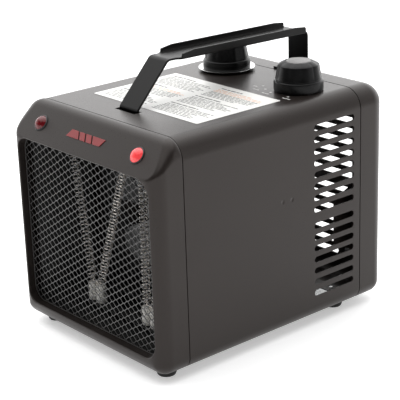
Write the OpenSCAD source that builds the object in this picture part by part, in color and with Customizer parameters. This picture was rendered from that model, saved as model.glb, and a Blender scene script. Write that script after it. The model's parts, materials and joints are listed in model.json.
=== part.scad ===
// Portable fan heater: sheet-metal case, open wire coils behind a wire mesh,
// two control knobs and a strap handle on top.
// The front faces -Y, +Z is up, and the feet stand on z = 0.

/* [Case] */
// Width of the case
case_w = 200; // [170:1:260]
// Height of the case, without feet and handle
case_h = 200; // [180:1:260]
// Length of the sheet wrap between the two seams
wrap_len = 204; // [190:1:280]
// Depth of the front bezel, seam to front face
bezel_depth = 31; // [28:1:45]
// Depth of the rear cover, seam to back face
rear_depth = 36; // [30:1:60]
// Thickness of the case sheet
sheet_t = 1; // [0.6:0.1:1.5]
// Radius of the two long top edges
top_edge_r = 18; // [14:1:26]
// Radius of the two long bottom edges
base_edge_r = 12; // [8:1:14]
// Radius of the vertical edges of the bezel
front_edge_r = 14; // [8:1:18]
// Radius around the back face of the rear cover
rear_edge_r = 18; // [10:1:18]
// How much less deep the rear cover is at its bottom
rear_draft = 4; // [0:0.5:8]
// Open seam between bezel, wrap and rear cover
seam_gap = 0.8; // [0.3:0.1:1]
// Length of the inner flanges that slide into the wrap
flange_len = 8; // [6:1:12]

/* [Front panel] */
// Drop from the case top to the crease above the grille
lip_drop = 27; // [22:1:34]
// How far back the control panel leans at its top
panel_setback = 21; // [16:1:24]
// Width of the grille opening
opening_w = 181; // [140:1:182]
// Height of the grille opening
opening_h = 155.5; // [120:0.5:158]
// Height of the frame under the grille opening
opening_sill = 15; // [13:1:20]
// Corner radius of the grille opening
opening_r = 13; // [6:1:20]
// Depth of the grille behind the front face
recess = 8; // [5:1:14]
// Distance of the lamps from the centre plane
lamp_x = 66.7; // [45:0.1:70]
// Radius of a lamp lens
lamp_r = 6.5; // [5:0.5:8]
// Length of the red badge
badge_w = 50; // [30:1:60]

/* [Grille] */
// Thickness of the expanded mesh
mesh_t = 1.2; // [0.8:0.1:2]
// Width of one mesh diamond
mesh_pitch_x = 12.2; // [8:0.1:16]
// Height of one mesh diamond
mesh_pitch_z = 9.6; // [6:0.1:12]
// Width of a mesh strand
strand_w = 1.5; // [0.8:0.1:2]
// Plain border of the mesh that backs on the bezel
mesh_border = 2.4; // [1.5:0.1:4]

/* [Vents] */
// Length of a side vent slot
slot_len = 49.5; // [30:0.5:60]
// Height of a vent slot
slot_h = 5.6; // [3:0.1:7]
// Height step from slot to slot
slot_pitch = 10.6; // [8:0.1:11]
// Slots above the wide bar
slots_upper = 8; // [4:1:8]
// Slots below the wide bar
slots_lower = 7; // [3:1:7]
// Extra height of the wide bar
slot_bar = 4.8; // [0:0.1:8]
// Drop from the case top to the highest slot
slot_top = 22.5; // [20:0.5:30]
// Distance from the slots to the rear seam
slot_seam_gap = 8; // [6:0.5:12]
// Length of a slot in the rear cover
rear_slot_len = 66; // [40:1:70]

/* [Handle] */
// Width of the handle strap
strap_w = 25; // [18:0.5:30]
// Thickness of the handle strap
strap_t = 2; // [1.5:0.1:3]
// Height of the grip plate above the case top
handle_h = 38.5; // [30:0.5:55]
// How much lower the grip is at the rear leg
handle_drop = 3; // [0:0.5:6]
// Width of the grip over its bent edges
grip_w = 31; // [26:0.5:40]
// Height of the bent edges of the grip
grip_edge = 5; // [3:0.5:9]
// Where the front leg meets the case top, from the front seam
front_leg_y = 24.5; // [14:0.5:34]
// How far the front leg leans back
leg_lean = 36; // [20:1:45]
// Flat length between the front leg and the grip
grip_start = 14; // [8:1:24]
// Distance of the rear leg from the back face
rear_leg_y = 13.5; // [12:0.5:19]

/* [Controls] */
// Place of the thermostat knob across the case
thermo_x = -43; // [-60:1:-38]
// Distance of the thermostat knob from the rear seam
thermo_y = 28.5; // [27:0.5:40]
// Place of the selector knob across the case
select_x = 59; // [50:1:62]
// Distance of the selector knob from the rear seam
select_y = 35.5; // [27:0.5:40]
// Radius of a knob skirt
knob_skirt_r = 22; // [18:0.5:23]
// Height of a knob skirt
knob_skirt_h = 9.5; // [6:0.5:12]
// Height of a whole knob
knob_h = 25.5; // [20:0.5:30]
// Radius of the dial ring under the thermostat knob
dial_ring_r = 26.5; // [25:0.5:27]
// Radius of the knob shafts
shaft_r = 3; // [2.5:0.1:3.5]
// Radius of the threaded bushings
bushing_r = 4.8; // [4.5:0.1:5.5]

/* [Heating element] */
// Radius of a heating coil
coil_r = 4; // [3:0.5:5]
// Distance of the coils from the front face
coil_y = 42; // [36:1:50]
// Radius of a ceramic insulator
insulator_r = 5; // [5:0.5:7]

/* [Fan] */
// Radius over the fan blades
fan_r = 64; // [50:1:68]
// Number of fan blades
blades = 5; // [3:1:7]
// Pitch angle of the blades
blade_pitch = 28; // [15:1:35]
// Distance of the fan bulkhead from the front seam
bulkhead_y = 64; // [60:1:80]
// Radius of the motor shaft
motor_shaft_r = 2.5; // [2:0.1:3]
// Radius of the rotor
rotor_r = 14; // [11:0.5:16]
// Width of the lamination stack
stator_w = 52; // [48:1:60]

/* [Feet] */
// Height of the rubber feet
foot_h = 7; // [5:0.5:12]
// Radius of the rubber feet
foot_r = 9; // [7:0.5:9]

/* [Hidden] */
$fn = 48;

// Shared clearances
slip_fit = 0.15;      // between sheet parts that slide together
run_fit = 0.05;       // radial, shaft in a bearing or bushing
hole_fit = 0.3;       // radial, screw or bushing in its hole
screw_fit = 0.05;     // radial, screw in the piece that it grips
inner_t = 0.8;        // internal sheet parts

// Levels and stations
z_base = foot_h;
z_top = z_base + case_h;
half_w = case_w / 2;
total_len = bezel_depth + wrap_len + rear_depth;
y_front = -total_len / 2;
y_back = total_len / 2;
y_seam_f = y_front + bezel_depth;
y_seam_r = y_seam_f + wrap_len;
z_in_top = z_top - sheet_t;
z_in_base = z_base + sheet_t;

// Front panel geometry
z_lip = z_top - lip_drop;
nose_r = 6;
lip_r = 3;
crown = 0.4;           // how far the corners of the bezel lie behind the crease
// The panel is the common tangent of the crease's round and the round at the top (Y and Z)
lip_c = [y_front + lip_r, z_lip - lip_r];
nose_c = [y_front + panel_setback + nose_r, z_top - nose_r];
panel_lean = atan2(nose_c[0] - lip_c[0], nose_c[1] - lip_c[1]) - asin((nose_r - lip_r) / norm(nose_c - lip_c));
panel_mid = (lip_c + nose_c + (lip_r + nose_r) * [-cos(panel_lean), sin(panel_lean)]) / 2;
z_corner = lip_c[1] - (front_edge_r - lip_r) * tan(panel_lean / 2);
z_opening = z_base + opening_sill + opening_h / 2;
y_mesh = y_front + recess;

// Control stations
thermo_yy = y_seam_r - thermo_y;
select_yy = y_seam_r - select_y;
control_body_h = 20;
bushing_h = 7;
nut_h = 2.4;
nut_r = 8;
ring_t = 0.8;
ring_rise = 3;
knob_lift = 0.8;
thermo_knob_z = z_top + ring_t + knob_lift;
select_knob_z = z_top + knob_lift;
shaft_top = 18;
knob_wall = 2;
knob_top_r = 18.4;
knob_cap_r = 11;

// Heating element stations
y_coil = y_front + coil_y;
frame_y0 = y_mesh + mesh_t + 6;
y_bulk = y_seam_f + bulkhead_y;
frame_y1 = y_bulk - 18;
frame_w = opening_w - 3;
frame_h = opening_h + 8;
z_frame = z_base + opening_sill + opening_h / 2 - 2;
bar_h = 14;
bar_t = 1.2;
z_bar_low = z_frame - frame_h / 2 + inner_t + 6;
z_bar_high = z_frame + frame_h / 2 - inner_t - 10;
// Height of the lower and of the upper bushing heads
head_low = 17;
head_high = 7;
// Across-the-case places where the coil turns, top and bottom alternating
coil_turns = [[-66, 1], [-46.5, 0], [-35.5, 0], [8, 1], [32, 1], [30.5, 0], [41.5, 0], [66, 1]];

// Fan and motor stations
z_fan = z_base + case_h / 2;
hub_r = 13;
hub_len = 14;
blade_t = 1.2;
blade_y = y_bulk - 9;
fan_hole_r = fan_r + 4;
collar_len = 14;
mount_y = y_bulk + 14;
stator_y0 = mount_y + 10;
stator_len = 20;
rotor_gap = 0.4;
bracket_t = 1.5;
bracket_gap = 7;
bearing_r = 5;
bearing_len = 6;
shaft_y0 = y_bulk - 20;
shaft_y1 = stator_y0 + stator_len + bracket_gap + bearing_len + 2;

// Fasteners
screw_r = 1.9;
screw_head_r = 3.6;
screw_head_h = 2.2;

// Feet
foot_x = half_w - base_edge_r - foot_r;
foot_front_y = y_seam_f - foot_r;
foot_rear_y = y_seam_r - foot_r - 4;
foot_recess = 3;
foot_places = [[-foot_x, foot_front_y], [foot_x, foot_front_y], [-foot_x, foot_rear_y], [foot_x, foot_rear_y]];

// Colours
paint = [0.13, 0.125, 0.12];
plastic = [0.05, 0.05, 0.05];
bright = [0.75, 0.75, 0.75];
zinc = [0.6, 0.62, 0.63];
ceramic = [0.9, 0.88, 0.82];
signal_red = [0.75, 0.05, 0.06];

// ---------- Helpers ----------

// Extrudes a drawing of X and Z along Y from y0 to y1
module along_y(y0, y1) {
    translate([0, y1, 0]) rotate([90, 0, 0]) linear_extrude(y1 - y0) children();
}

// Extrudes a drawing of Y and Z along X, centred on x = 0
module along_x(w) {
    rotate([90, 0, 90]) linear_extrude(w, center = true) children();
}

// Upright rectangle with round corners, centred
module round_rect(w, h, r) {
    square([w - 2 * r, h], center = true);
    square([w, h - 2 * r], center = true);
    for (x = [-1, 1], y = [-1, 1]) translate([x * (w / 2 - r), y * (h / 2 - r)]) circle(r);
}

// Cross section of the case, drawn smaller all round by inset
module case_profile(inset) {
    w = half_w - inset;
    rt = top_edge_r - inset;
    rb = base_edge_r - inset;
    translate([-w, z_base + base_edge_r]) square([2 * w, case_h - base_edge_r - top_edge_r]);
    translate([-w + rt, z_top - top_edge_r]) square([2 * (w - rt), rt]);
    translate([-w + rb, z_base + inset]) square([2 * (w - rb), rb]);
    for (x = [-1, 1]) {
        translate([x * (w - rt), z_top - top_edge_r]) circle(rt);
        translate([x * (w - rb), z_base + base_edge_r]) circle(rb);
    }
}

// Sheet ring that follows the case section
module case_ring(y0, y1, inset, t) {
    difference() {
        along_y(y0, y1) case_profile(inset);
        along_y(y0 - 1, y1 + 1) case_profile(inset + t);
    }
}

// Round bar between two points
module rod(a, b, r) {
    d = b - a;
    len = norm(d);
    translate(a) rotate([0, acos(d[2] / len), atan2(d[1], d[0])]) cylinder(h = len, r = r);
}

// Direction of a wire at point i: the mean of the stretches on both sides
function unit(v) = v / norm(v);
function wire_dir(p, i) = unit(
    (i > 0 ? unit(p[i] - p[i - 1]) : [0, 0, 0]) + (i < len(p) - 1 ? unit(p[i + 1] - p[i]) : [0, 0, 0]));

// Insulated wire: an eight-sided tube through a list of points, none of whose bends is level with X
wire_sides = 8;
module wire(points, r) {
    last = len(points) - 1;
    rings = [for (i = [0 : last]) let (d = wire_dir(points, i), u = unit(cross(d, [1, 0, 0])), v = cross(d, u))
        for (k = [0 : wire_sides - 1]) points[i] + r * (cos(360 / wire_sides * k) * u + sin(360 / wire_sides * k) * v)];
    sides = [for (i = [0 : last - 1], k = [0 : wire_sides - 1]) let (n = (k + 1) % wire_sides, a = i * wire_sides)
        each [[a + k, a + n, a + wire_sides + n], [a + k, a + wire_sides + n, a + wire_sides + k]]];
    foot = [for (k = [1 : wire_sides - 2]) [0, k + 1, k]];
    head = [for (k = [1 : wire_sides - 2]) [last * wire_sides, last * wire_sides + k, last * wire_sides + k + 1]];
    polyhedron(rings, concat(sides, foot, head));
}

// Cylinder along Y from y0 to y1 at height z
module y_cyl(y0, y1, r, z = 0, x = 0) {
    translate([x, y1, z]) rotate([90, 0, 0]) cylinder(h = y1 - y0, r = r);
}

// Slot with round ends, centred
module slot_2d(l, h) {
    square([l - h, h], center = true);
    for (x = [-1, 1]) translate([x * (l - h) / 2, 0]) circle(h / 2);
}

// Height of vent slot i, counted from the top
function slot_z(i) = z_top - slot_top - i * slot_pitch - (i >= slots_upper ? slot_bar : 0);

// Stands an upright piece square on the leaning control panel
module on_panel(x) {
    translate([x, panel_mid[0], panel_mid[1]]) rotate([90 - panel_lean, 0, 0]) children();
}

// Pan-head screw, head up, with its seat at the origin
module pan_screw(shank) {
    cylinder(h = screw_head_h, r = screw_head_r);
    translate([0, 0, -shank]) cylinder(h = shank, r = screw_r);
}

// ---------- Case ----------

// Solid form of the bezel, smaller all round by inset
module bezel_form(inset, y_end) {
    hull() {
        along_y(y_end - 0.5, y_end) case_profile(inset, $fn = 32);
        for (x = [-1, 1]) {
            // Round of the top edge, in steps that include the panel's tangent
            for (a = [0, 0.5 * (90 - panel_lean), 90 - panel_lean, 0.5 * (180 - panel_lean), 90]) {
                r = top_edge_r - nose_r + (nose_r - inset) * cos(a);
                y = nose_c[0] - (nose_r - inset) * sin(a);
                y_cyl(y, y + 0.4, r, z_top - top_edge_r, x * (half_w - top_edge_r), $fn = 32);
            }
            for (z = [z_base + front_edge_r, z_corner])
                translate([x * (half_w - front_edge_r), y_front + front_edge_r + crown, z])
                    sphere(front_edge_r - inset, $fn = 32);
        }
        // Tighter bend of the crease between the two corners
        translate([0, lip_c[0], lip_c[1]]) rotate([0, 90, 0])
            cylinder(h = case_w - 2 * front_edge_r - 4, r = lip_r - inset, center = true, $fn = 32);
    }
}

module front_bezel() color(paint) {
    difference() {
        bezel_form(0, y_seam_f - seam_gap);
        bezel_form(sheet_t, y_seam_f + 1);
        along_y(y_front - 1, y_mesh) translate([0, z_opening]) round_rect(opening_w, opening_h, opening_r);
        for (x = [-1, 1]) on_panel(x * lamp_x) cylinder(h = 20, r = lamp_r + 0.5 + hole_fit, center = true);
        for (p = foot_places) translate([p[0], p[1], z_base - 1]) cylinder(h = 4, r = screw_r + hole_fit);
    }
    // Return wall around the grille
    difference() {
        along_y(y_front + crown, y_mesh) translate([0, z_opening])
            round_rect(opening_w + 2 * sheet_t, opening_h + 2 * sheet_t, opening_r + sheet_t);
        along_y(y_front - 1, y_mesh + 1) translate([0, z_opening]) round_rect(opening_w, opening_h, opening_r);
    }
    // Inner flange that enters the wrap
    difference() {
        union() {
            case_ring(y_seam_f - flange_len, y_seam_f + flange_len, sheet_t + slip_fit, sheet_t);
            case_ring(y_seam_f - flange_len, y_seam_f - seam_gap, sheet_t - 0.1, sheet_t);
        }
        for (p = cover_places) translate([p[0], p[1], z_base - 1]) cylinder(h = 6, r = screw_r + screw_fit);
        for (p = foot_places) translate([p[0], p[1], z_base - 1]) cylinder(h = 6, r = screw_r + hole_fit);
    }
}

bottom_open = case_w - 80;

module case_wrap() color(paint) difference() {
    case_ring(y_seam_f, y_seam_r, 0, sheet_t);
    // Open strip under the base plate
    translate([-bottom_open / 2, y_seam_f - 1, z_base - 1]) cube([bottom_open, wrap_len + 2, 4]);
    // Side vents
    for (i = [0 : slots_upper + slots_lower - 1])
        translate([0, y_seam_r - slot_seam_gap - slot_len / 2, slot_z(i)])
            along_x(case_w + 2) slot_2d(slot_len, slot_h);
    // Handle slot, control bushings and feet
    translate([-strap_w / 2 - 0.7, y_seam_f + front_leg_y - 4, z_in_top - 1]) cube([strap_w + 1.4, 8, 4]);
    translate([thermo_x, thermo_yy, z_in_top - 1]) cylinder(h = 4, r = bushing_r + hole_fit);
    translate([select_x, select_yy, z_in_top - 1]) cylinder(h = 4, r = bushing_r + hole_fit);
    for (p = foot_places) translate([p[0], p[1], z_base - 1]) cylinder(h = 4, r = screw_r + hole_fit);
    for (p = cover_places) translate([p[0], p[1], z_base - 1]) cylinder(h = 4, r = screw_r + hole_fit);
}

// Screws under the case that hold the flanges of the bezel and the rear cover
cover_x = foot_x - foot_r - 2;
cover_places = [for (x = [-1, 1], y = [y_seam_f + flange_len / 2, y_seam_r - flange_len / 2]) [x * cover_x, y]];

module rear_form(inset, y_start) {
    hull() {
        along_y(y_start, y_start + 0.5) case_profile(inset, $fn = 32);
        for (x = [-1, 1]) {
            translate([x * (half_w - rear_edge_r), y_back - rear_edge_r, z_top - rear_edge_r])
                sphere(rear_edge_r - inset, $fn = 32);
            translate([x * (half_w - base_edge_r), y_back - rear_draft - base_edge_r, z_base + base_edge_r])
                sphere(base_edge_r - inset, $fn = 32);
        }
    }
}

inlet_r = 8;
inlet_flange = 4.2;
cord_hole_r = 3.6;
inlet_x = 60;
inlet_z = z_base + 30;
foot_screw_y = y_seam_r + 8;
rear_foot_len = 20;
rear_slot_short = 36;  // beside the cord inlet

module rear_cover() color(paint) {
    difference() {
        rear_form(0, y_seam_r + seam_gap);
        rear_form(sheet_t, y_seam_r - 1);
        for (i = [0 : slots_upper + slots_lower - 1]) for (x = [-1, 1])
            let (l = x > 0 && i > slots_upper + slots_lower - 3 ? rear_slot_short : rear_slot_len)
                along_y(y_back - 20, y_back + 1) translate([x * (l / 2 + 8), slot_z(i)]) slot_2d(l, slot_h);
        y_cyl(y_back - 20, y_back + 1, inlet_r + 0.1, inlet_z, inlet_x);
        translate([0, foot_screw_y, z_in_top - 4]) cylinder(h = 8, r = screw_r + hole_fit);
    }
    difference() {
        union() {
            case_ring(y_seam_r - flange_len, y_seam_r + flange_len, sheet_t + slip_fit, sheet_t);
            case_ring(y_seam_r + seam_gap, y_seam_r + flange_len, sheet_t - 0.1, sheet_t);
        }
        for (p = cover_places) translate([p[0], p[1], z_base - 1]) cylinder(h = 6, r = screw_r + screw_fit);
        translate([0, foot_screw_y, z_in_top - 4]) cylinder(h = 8, r = screw_r + hole_fit);
    }
}

module base_plate() color(zinc) difference() {
    translate([-half_w + base_edge_r, y_seam_f + flange_len + 1, z_in_base])
        cube([case_w - 2 * base_edge_r, wrap_len - 2 * flange_len - 2, sheet_t]);
    for (p = foot_places) translate([p[0], p[1], z_base - 1]) cylinder(h = 5, r = screw_r + 0.1);
}

module cover_screws() color(zinc) for (p = cover_places)
    translate([p[0], p[1], z_base]) rotate([180, 0, 0]) pan_screw(5);

// ---------- Grille ----------

mesh_w = opening_w + 2 * mesh_border;
mesh_h = opening_h + 2 * mesh_border;
mesh_cols = floor(opening_w / mesh_pitch_x) + 1;
mesh_rows = floor(opening_h / mesh_pitch_z) + 1;
diamond_x = mesh_pitch_x / 2 - strand_w * 0.75;
diamond_z = mesh_pitch_z / 2 - strand_w * 0.6;

module diamond() {
    polygon([[-diamond_x, 0], [0, -diamond_z], [diamond_x, 0], [0, diamond_z]]);
}

function mesh_inside(x, z) = abs(x) + diamond_x < mesh_w / 2 - mesh_border
    && abs(z) + diamond_z < mesh_h / 2 - mesh_border
    && norm([max(0, abs(x) - mesh_w / 2 + opening_r + 3), max(0, abs(z) - mesh_h / 2 + opening_r + 3)]) < opening_r - 1;

module grille_mesh() color(plastic) along_y(y_mesh, y_mesh + mesh_t) translate([0, z_opening]) difference() {
    round_rect(mesh_w, mesh_h, opening_r);
    for (i = [-mesh_cols : mesh_cols], j = [-mesh_rows : mesh_rows])
        if ((i + j) % 2 == 0 && mesh_inside(i * mesh_pitch_x / 2, j * mesh_pitch_z / 2))
            translate([i * mesh_pitch_x / 2, j * mesh_pitch_z / 2]) diamond();
}

// ---------- Panel and top fittings ----------

// Plain bar with slanted ends and three notches, in place of a name
module front_badge() color(signal_red) on_panel(-2) linear_extrude(0.6) difference() {
    polygon([[-badge_w / 2, -3.5], [badge_w / 2 - 4, -3.5], [badge_w / 2, 3.5], [-badge_w / 2 + 4, 3.5]]);
    for (x = [-1 : 1]) translate([x * 9, 0]) rotate(30) square([1.6, 12], center = true);
}

label_w = 140;
label_len = 95;
label_x = 4;
label_y = y_seam_f + 37.5;

module info_label() color([0.85, 0.85, 0.82])
    translate([label_x - label_w / 2, label_y, z_top]) cube([label_w, label_len, 0.2]);

// Lens dome: the cap of a sphere that is lamp_r wide and lamp_dome high
lamp_dome = 3.8;
dome_r = (pow(lamp_r, 2) + pow(lamp_dome, 2)) / (2 * lamp_dome);
collar_t = 1.2;
module lamp_lens(x) on_panel(x) {
    translate([0, 0, collar_t]) intersection() {
        translate([0, 0, lamp_dome - dome_r]) sphere(dome_r);
        cylinder(h = 2 * lamp_r, r = lamp_r);
    }
    translate([0, 0, -2]) cylinder(h = 2 + collar_t, r = lamp_r - 0.5);
}

module power_lamp_lens() color([0.45, 0.05, 0.06]) lamp_lens(-lamp_x);
module heat_lamp_lens() color([0.95, 0.2, 0.2]) lamp_lens(lamp_x);

// Collars, barrels and terminals of both lamps
barrel_len = 11;
lamp_tab = 3;
module lamp_housings() color(plastic) for (x = [-1, 1]) on_panel(x * lamp_x) {
    difference() {
        union() {
            cylinder(h = collar_t, r = lamp_r + 1.4);
            translate([0, 0, -barrel_len]) cylinder(h = barrel_len, r = lamp_r + 0.5);
        }
        translate([0, 0, -2]) cylinder(h = 4, r = lamp_r - 0.5 + 0.02);
    }
    for (s = [-1, 1]) translate([s * 3 - 0.4, -2, -barrel_len - lamp_tab]) cube([0.8, 4, lamp_tab + 1]);
}

// ---------- Handle ----------

y_leg = y_seam_f + front_leg_y;
y_leg_top = y_leg + leg_lean;
y_grip0 = y_leg_top + grip_start;
y_rear_leg = y_back - rear_leg_y;
y_grip1 = y_rear_leg - 5;
grip_tilt = -atan(handle_drop / (y_rear_leg - y_leg_top));
z_grip = z_top + handle_h;
// Slant of the front leg, carried on down to the foot under the case top
leg_slope = leg_lean / handle_h;
z_inner_foot = z_in_top - strap_t / 2;
y_inner_foot = y_leg - (z_top - z_inner_foot) * leg_slope;
inner_foot_len = 20;
grip_flare = 6;
skin = 0.1;            // the widened plate stays this far inside the faces of the strap and the edges

// Direction of stretch i of a path, and the offset from its point i to the strap's face on one side
function path_dir(path, i) = let (k = min(max(i, 0), len(path) - 2)) unit(path[k + 1] - path[k]);
function face_offset(path, i, t) = let (a = path_dir(path, i - 1), b = path_dir(path, i), m = unit(a + b))
    t / 2 / (m * a) * [-m[1], m[0]];

// Strap of constant thickness along a path in Y and Z
module strap_2d(path) {
    last = len(path) - 1;
    polygon([
        for (i = [0 : last]) path[i] + face_offset(path, i, strap_t),
        for (i = [last : -1 : 0]) path[i] - face_offset(path, i, strap_t)]);
}

handle_path = [
    [y_inner_foot + inner_foot_len, z_inner_foot],
    [y_inner_foot, z_inner_foot],
    [y_leg_top, z_grip],
    [y_rear_leg, z_grip - handle_drop],
    [y_rear_leg, z_top + strap_t / 2],
    [y_rear_leg - rear_foot_len, z_top + strap_t / 2]];

module handle() color(plastic) difference() {
    union() {
        along_x(strap_w) strap_2d(handle_path);
        // Grip plate that widens from the strap, with both long edges bent up
        translate([0, y_leg_top, z_grip]) rotate([grip_tilt, 0, 0]) translate([0, -y_leg_top, 0]) {
            translate([0, 0, -strap_t / 2 + skin]) linear_extrude(strap_t - 2 * skin) polygon([
                [-strap_w / 2 + skin, y_grip0 - grip_flare], [-grip_w / 2 + skin, y_grip0 - skin],
                [-grip_w / 2 + skin, y_grip1 + skin], [-strap_w / 2 + skin, y_grip1 + grip_flare / 2],
                [strap_w / 2 - skin, y_grip1 + grip_flare / 2], [grip_w / 2 - skin, y_grip1 + skin],
                [grip_w / 2 - skin, y_grip0 - skin], [strap_w / 2 - skin, y_grip0 - grip_flare]]);
            for (x = [-1, 1]) translate([x * (grip_w - strap_t) / 2 - strap_t / 2, y_grip0, -strap_t / 2])
                cube([strap_t, y_grip1 - y_grip0, grip_edge + strap_t]);
        }
    }
    for (x = [-1, 1]) translate([x * 7, y_inner_foot + 14, z_inner_foot - 3]) cylinder(h = 6, r = screw_r + screw_fit);
    translate([0, foot_screw_y, z_top - 1]) cylinder(h = 5, r = screw_r + screw_fit);
}

// One screw on the rear foot and two under the front foot
module handle_screws() color(zinc) {
    translate([0, foot_screw_y, z_top + strap_t]) pan_screw(6);
    for (x = [-1, 1]) translate([x * 7, y_inner_foot + 14, z_in_top - strap_t]) rotate([180, 0, 0]) pan_screw(strap_t);
}

// ---------- Knobs, thermostat and selector ----------

module knob(x, y, z) translate([x, y, z]) difference() {
    union() {
        cylinder(h = knob_skirt_h, r = knob_skirt_r);
        translate([0, 0, knob_skirt_h]) cylinder(h = knob_h - knob_skirt_h - 3.5, r1 = knob_skirt_r - 1.6, r2 = knob_top_r);
        translate([0, 0, knob_h - 3.5]) cylinder(h = 3.5, r1 = knob_top_r, r2 = knob_cap_r + 1.5);
    }
    // Hollow under the skirt, around a central hub
    difference() {
        translate([0, 0, -1]) cylinder(h = knob_h - 4, r = knob_top_r - 1.5 - knob_wall);
        translate([0, 0, bushing_h]) cylinder(h = knob_h, r = shaft_r + 3);
    }
    translate([0, 0, -1]) cylinder(h = shaft_top, r = shaft_r + 0.02);
    // Seat of the top cap
    translate([0, 0, knob_h - 1]) cylinder(h = 2, r = knob_cap_r + 0.05);
}

module knob_cap(x, y, z) translate([x, y, z + knob_h - 1]) cylinder(h = 1.2, r = knob_cap_r);

module knob_shaft(x, y, z) translate([x, y, z_in_top - control_body_h + 2])
    cylinder(h = z - z_in_top + control_body_h - 2 + shaft_top - 1.5, r = shaft_r);

// Control body under the case top, with a threaded bushing that comes up through it
module control_body(x, y, w, l) translate([x, y, z_in_top]) difference() {
    union() {
        translate([-w / 2, -l / 2, -control_body_h]) cube([w, l, control_body_h]);
        cylinder(h = sheet_t + bushing_h, r = bushing_r);
    }
    translate([0, 0, -control_body_h + 1.5]) cylinder(h = control_body_h + bushing_h + 3, r = shaft_r + run_fit);
}

module hex_nut(x, y, z) translate([x, y, z]) difference() {
    cylinder(h = nut_h, r = nut_r, $fn = 6);
    translate([0, 0, -1]) cylinder(h = nut_h + 2, r = bushing_r + 0.02);
}

module thermostat_knob() color(plastic) knob(thermo_x, thermo_yy, thermo_knob_z);
module thermostat_knob_cap() color(zinc) knob_cap(thermo_x, thermo_yy, thermo_knob_z);
module thermostat_shaft() color(bright) knob_shaft(thermo_x, thermo_yy, thermo_knob_z);
module thermostat_body() color([0.8, 0.76, 0.66]) control_body(thermo_x, thermo_yy, 34, 30);
module thermostat_nut() color(zinc) hex_nut(thermo_x, thermo_yy, z_top + ring_t);

// Dished bright ring under the thermostat knob
module thermostat_dial_ring() color(bright) translate([thermo_x, thermo_yy, z_top]) rotate_extrude()
    polygon([[bushing_r + hole_fit, 0], [knob_skirt_r + 1.5, 0], [dial_ring_r, ring_rise],
        [dial_ring_r - 0.9, ring_rise], [knob_skirt_r + 1.1, ring_t], [bushing_r + hole_fit, ring_t]]);

module selector_knob() color(plastic) knob(select_x, select_yy, select_knob_z);
module selector_knob_cap() color(zinc) knob_cap(select_x, select_yy, select_knob_z);
module selector_shaft() color(bright) knob_shaft(select_x, select_yy, select_knob_z);
module selector_switch() color([0.3, 0.3, 0.32]) control_body(select_x, select_yy, 28, 28);
module selector_nut() color(zinc) hex_nut(select_x, select_yy, z_top);

// ---------- Heating element ----------

// Open sheet duct around the coils
module element_frame() color(zinc) difference() {
    along_y(frame_y0, frame_y1) translate([0, z_frame]) round_rect(frame_w, frame_h, 6);
    along_y(frame_y0 - 1, frame_y1 + 1) translate([0, z_frame]) round_rect(frame_w - 2 * inner_t, frame_h - 2 * inner_t, 6 - inner_t);
}

// Cross bars that carry the insulators, one low and one high
module element_bars() color(zinc) for (up = [0, 1]) let (z = up == 1 ? z_bar_high : z_bar_low)
    difference() {
        translate([-frame_w / 2 + inner_t, y_coil - bar_h / 2, z - bar_t / 2])
            cube([frame_w - 2 * inner_t, bar_h, bar_t]);
        for (t = coil_turns) if (t[1] == up)
            translate([t[0], y_coil, z]) cylinder(h = 10, r = insulator_r / 2 + screw_fit, center = true);
    }

// Height at a distance from the bushing face where a coil strand ends
coil_gap = 2;
function coil_z(up, gap) = up == 1
    ? z_bar_high - bar_t / 2 - head_high - gap
    : z_bar_low + bar_t / 2 + head_low + gap;

// Ceramic bushings: a head that the coil hooks on, and a neck through the bar
neck_len = bar_t + 3;
module coil_insulators() color(ceramic) for (t = coil_turns)
    translate([t[0], y_coil, t[1] == 1 ? z_bar_high : z_bar_low]) mirror([0, 0, t[1]]) {
        translate([0, 0, bar_t / 2]) cylinder(h = t[1] == 1 ? head_high : head_low, r = insulator_r);
        translate([0, 0, -neck_len + bar_t / 2]) cylinder(h = neck_len, r = insulator_r / 2);
    }

// One heating coil: two strands, strung between the bars from coil turn "first" on,
// and the straight wire that links them around two neighbouring bushings
link_r = 0.8;
module heat_coil(first) {
    for (i = [first, first + 2]) {
        a = coil_turns[i];
        b = coil_turns[i + 1];
        rod([a[0], y_coil, coil_z(a[1], coil_gap)], [b[0], y_coil, coil_z(b[1], coil_gap)], coil_r);
        for (e = [a, b]) rod([e[0], y_coil, coil_z(e[1], 0)], [e[0], y_coil, coil_z(e[1], 2 * coil_gap)], link_r);
    }
    a = coil_turns[first + 1];
    b = coil_turns[first + 2];
    z = coil_z(a[1], link_r);
    rod([a[0], y_coil, z], [b[0], y_coil, z], link_r);
}

module low_heat_coil() color([0.45, 0.42, 0.4]) heat_coil(0);
module high_heat_coil() color([0.45, 0.42, 0.4]) heat_coil(4);

// Terminal studs on the necks of the four upper end bushings
module coil_terminals() color(bright) for (t = coil_turns) if (t[1] == 1)
    translate([t[0], y_coil, z_bar_high - bar_t / 2 + neck_len]) cylinder(h = 4, r = 2);

// Snap-disc cut-out on the outside of the element duct
limit_x = -30;
limit_y = (frame_y0 + frame_y1) / 2 + 8;
module limit_thermostat() color([0.75, 0.7, 0.6]) translate([limit_x, limit_y, z_frame + frame_h / 2]) {
    cylinder(h = 3, r = 8);
    translate([0, 0, 3]) cylinder(h = 6, r = 6.5);
    for (s = [-1, 1]) translate([s * 9 - 3, -1.5, 6]) cube([6, 3, 0.8]);
}

module thermal_fuse() color(ceramic) translate([24, limit_y, z_frame + frame_h / 2 + 2])
    rotate([0, 90, 0]) {
        cylinder(h = 14, r = 2);
        translate([0, 0, -10]) cylinder(h = 34, r = 0.6);
    }

// ---------- Fan and motor ----------

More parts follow.
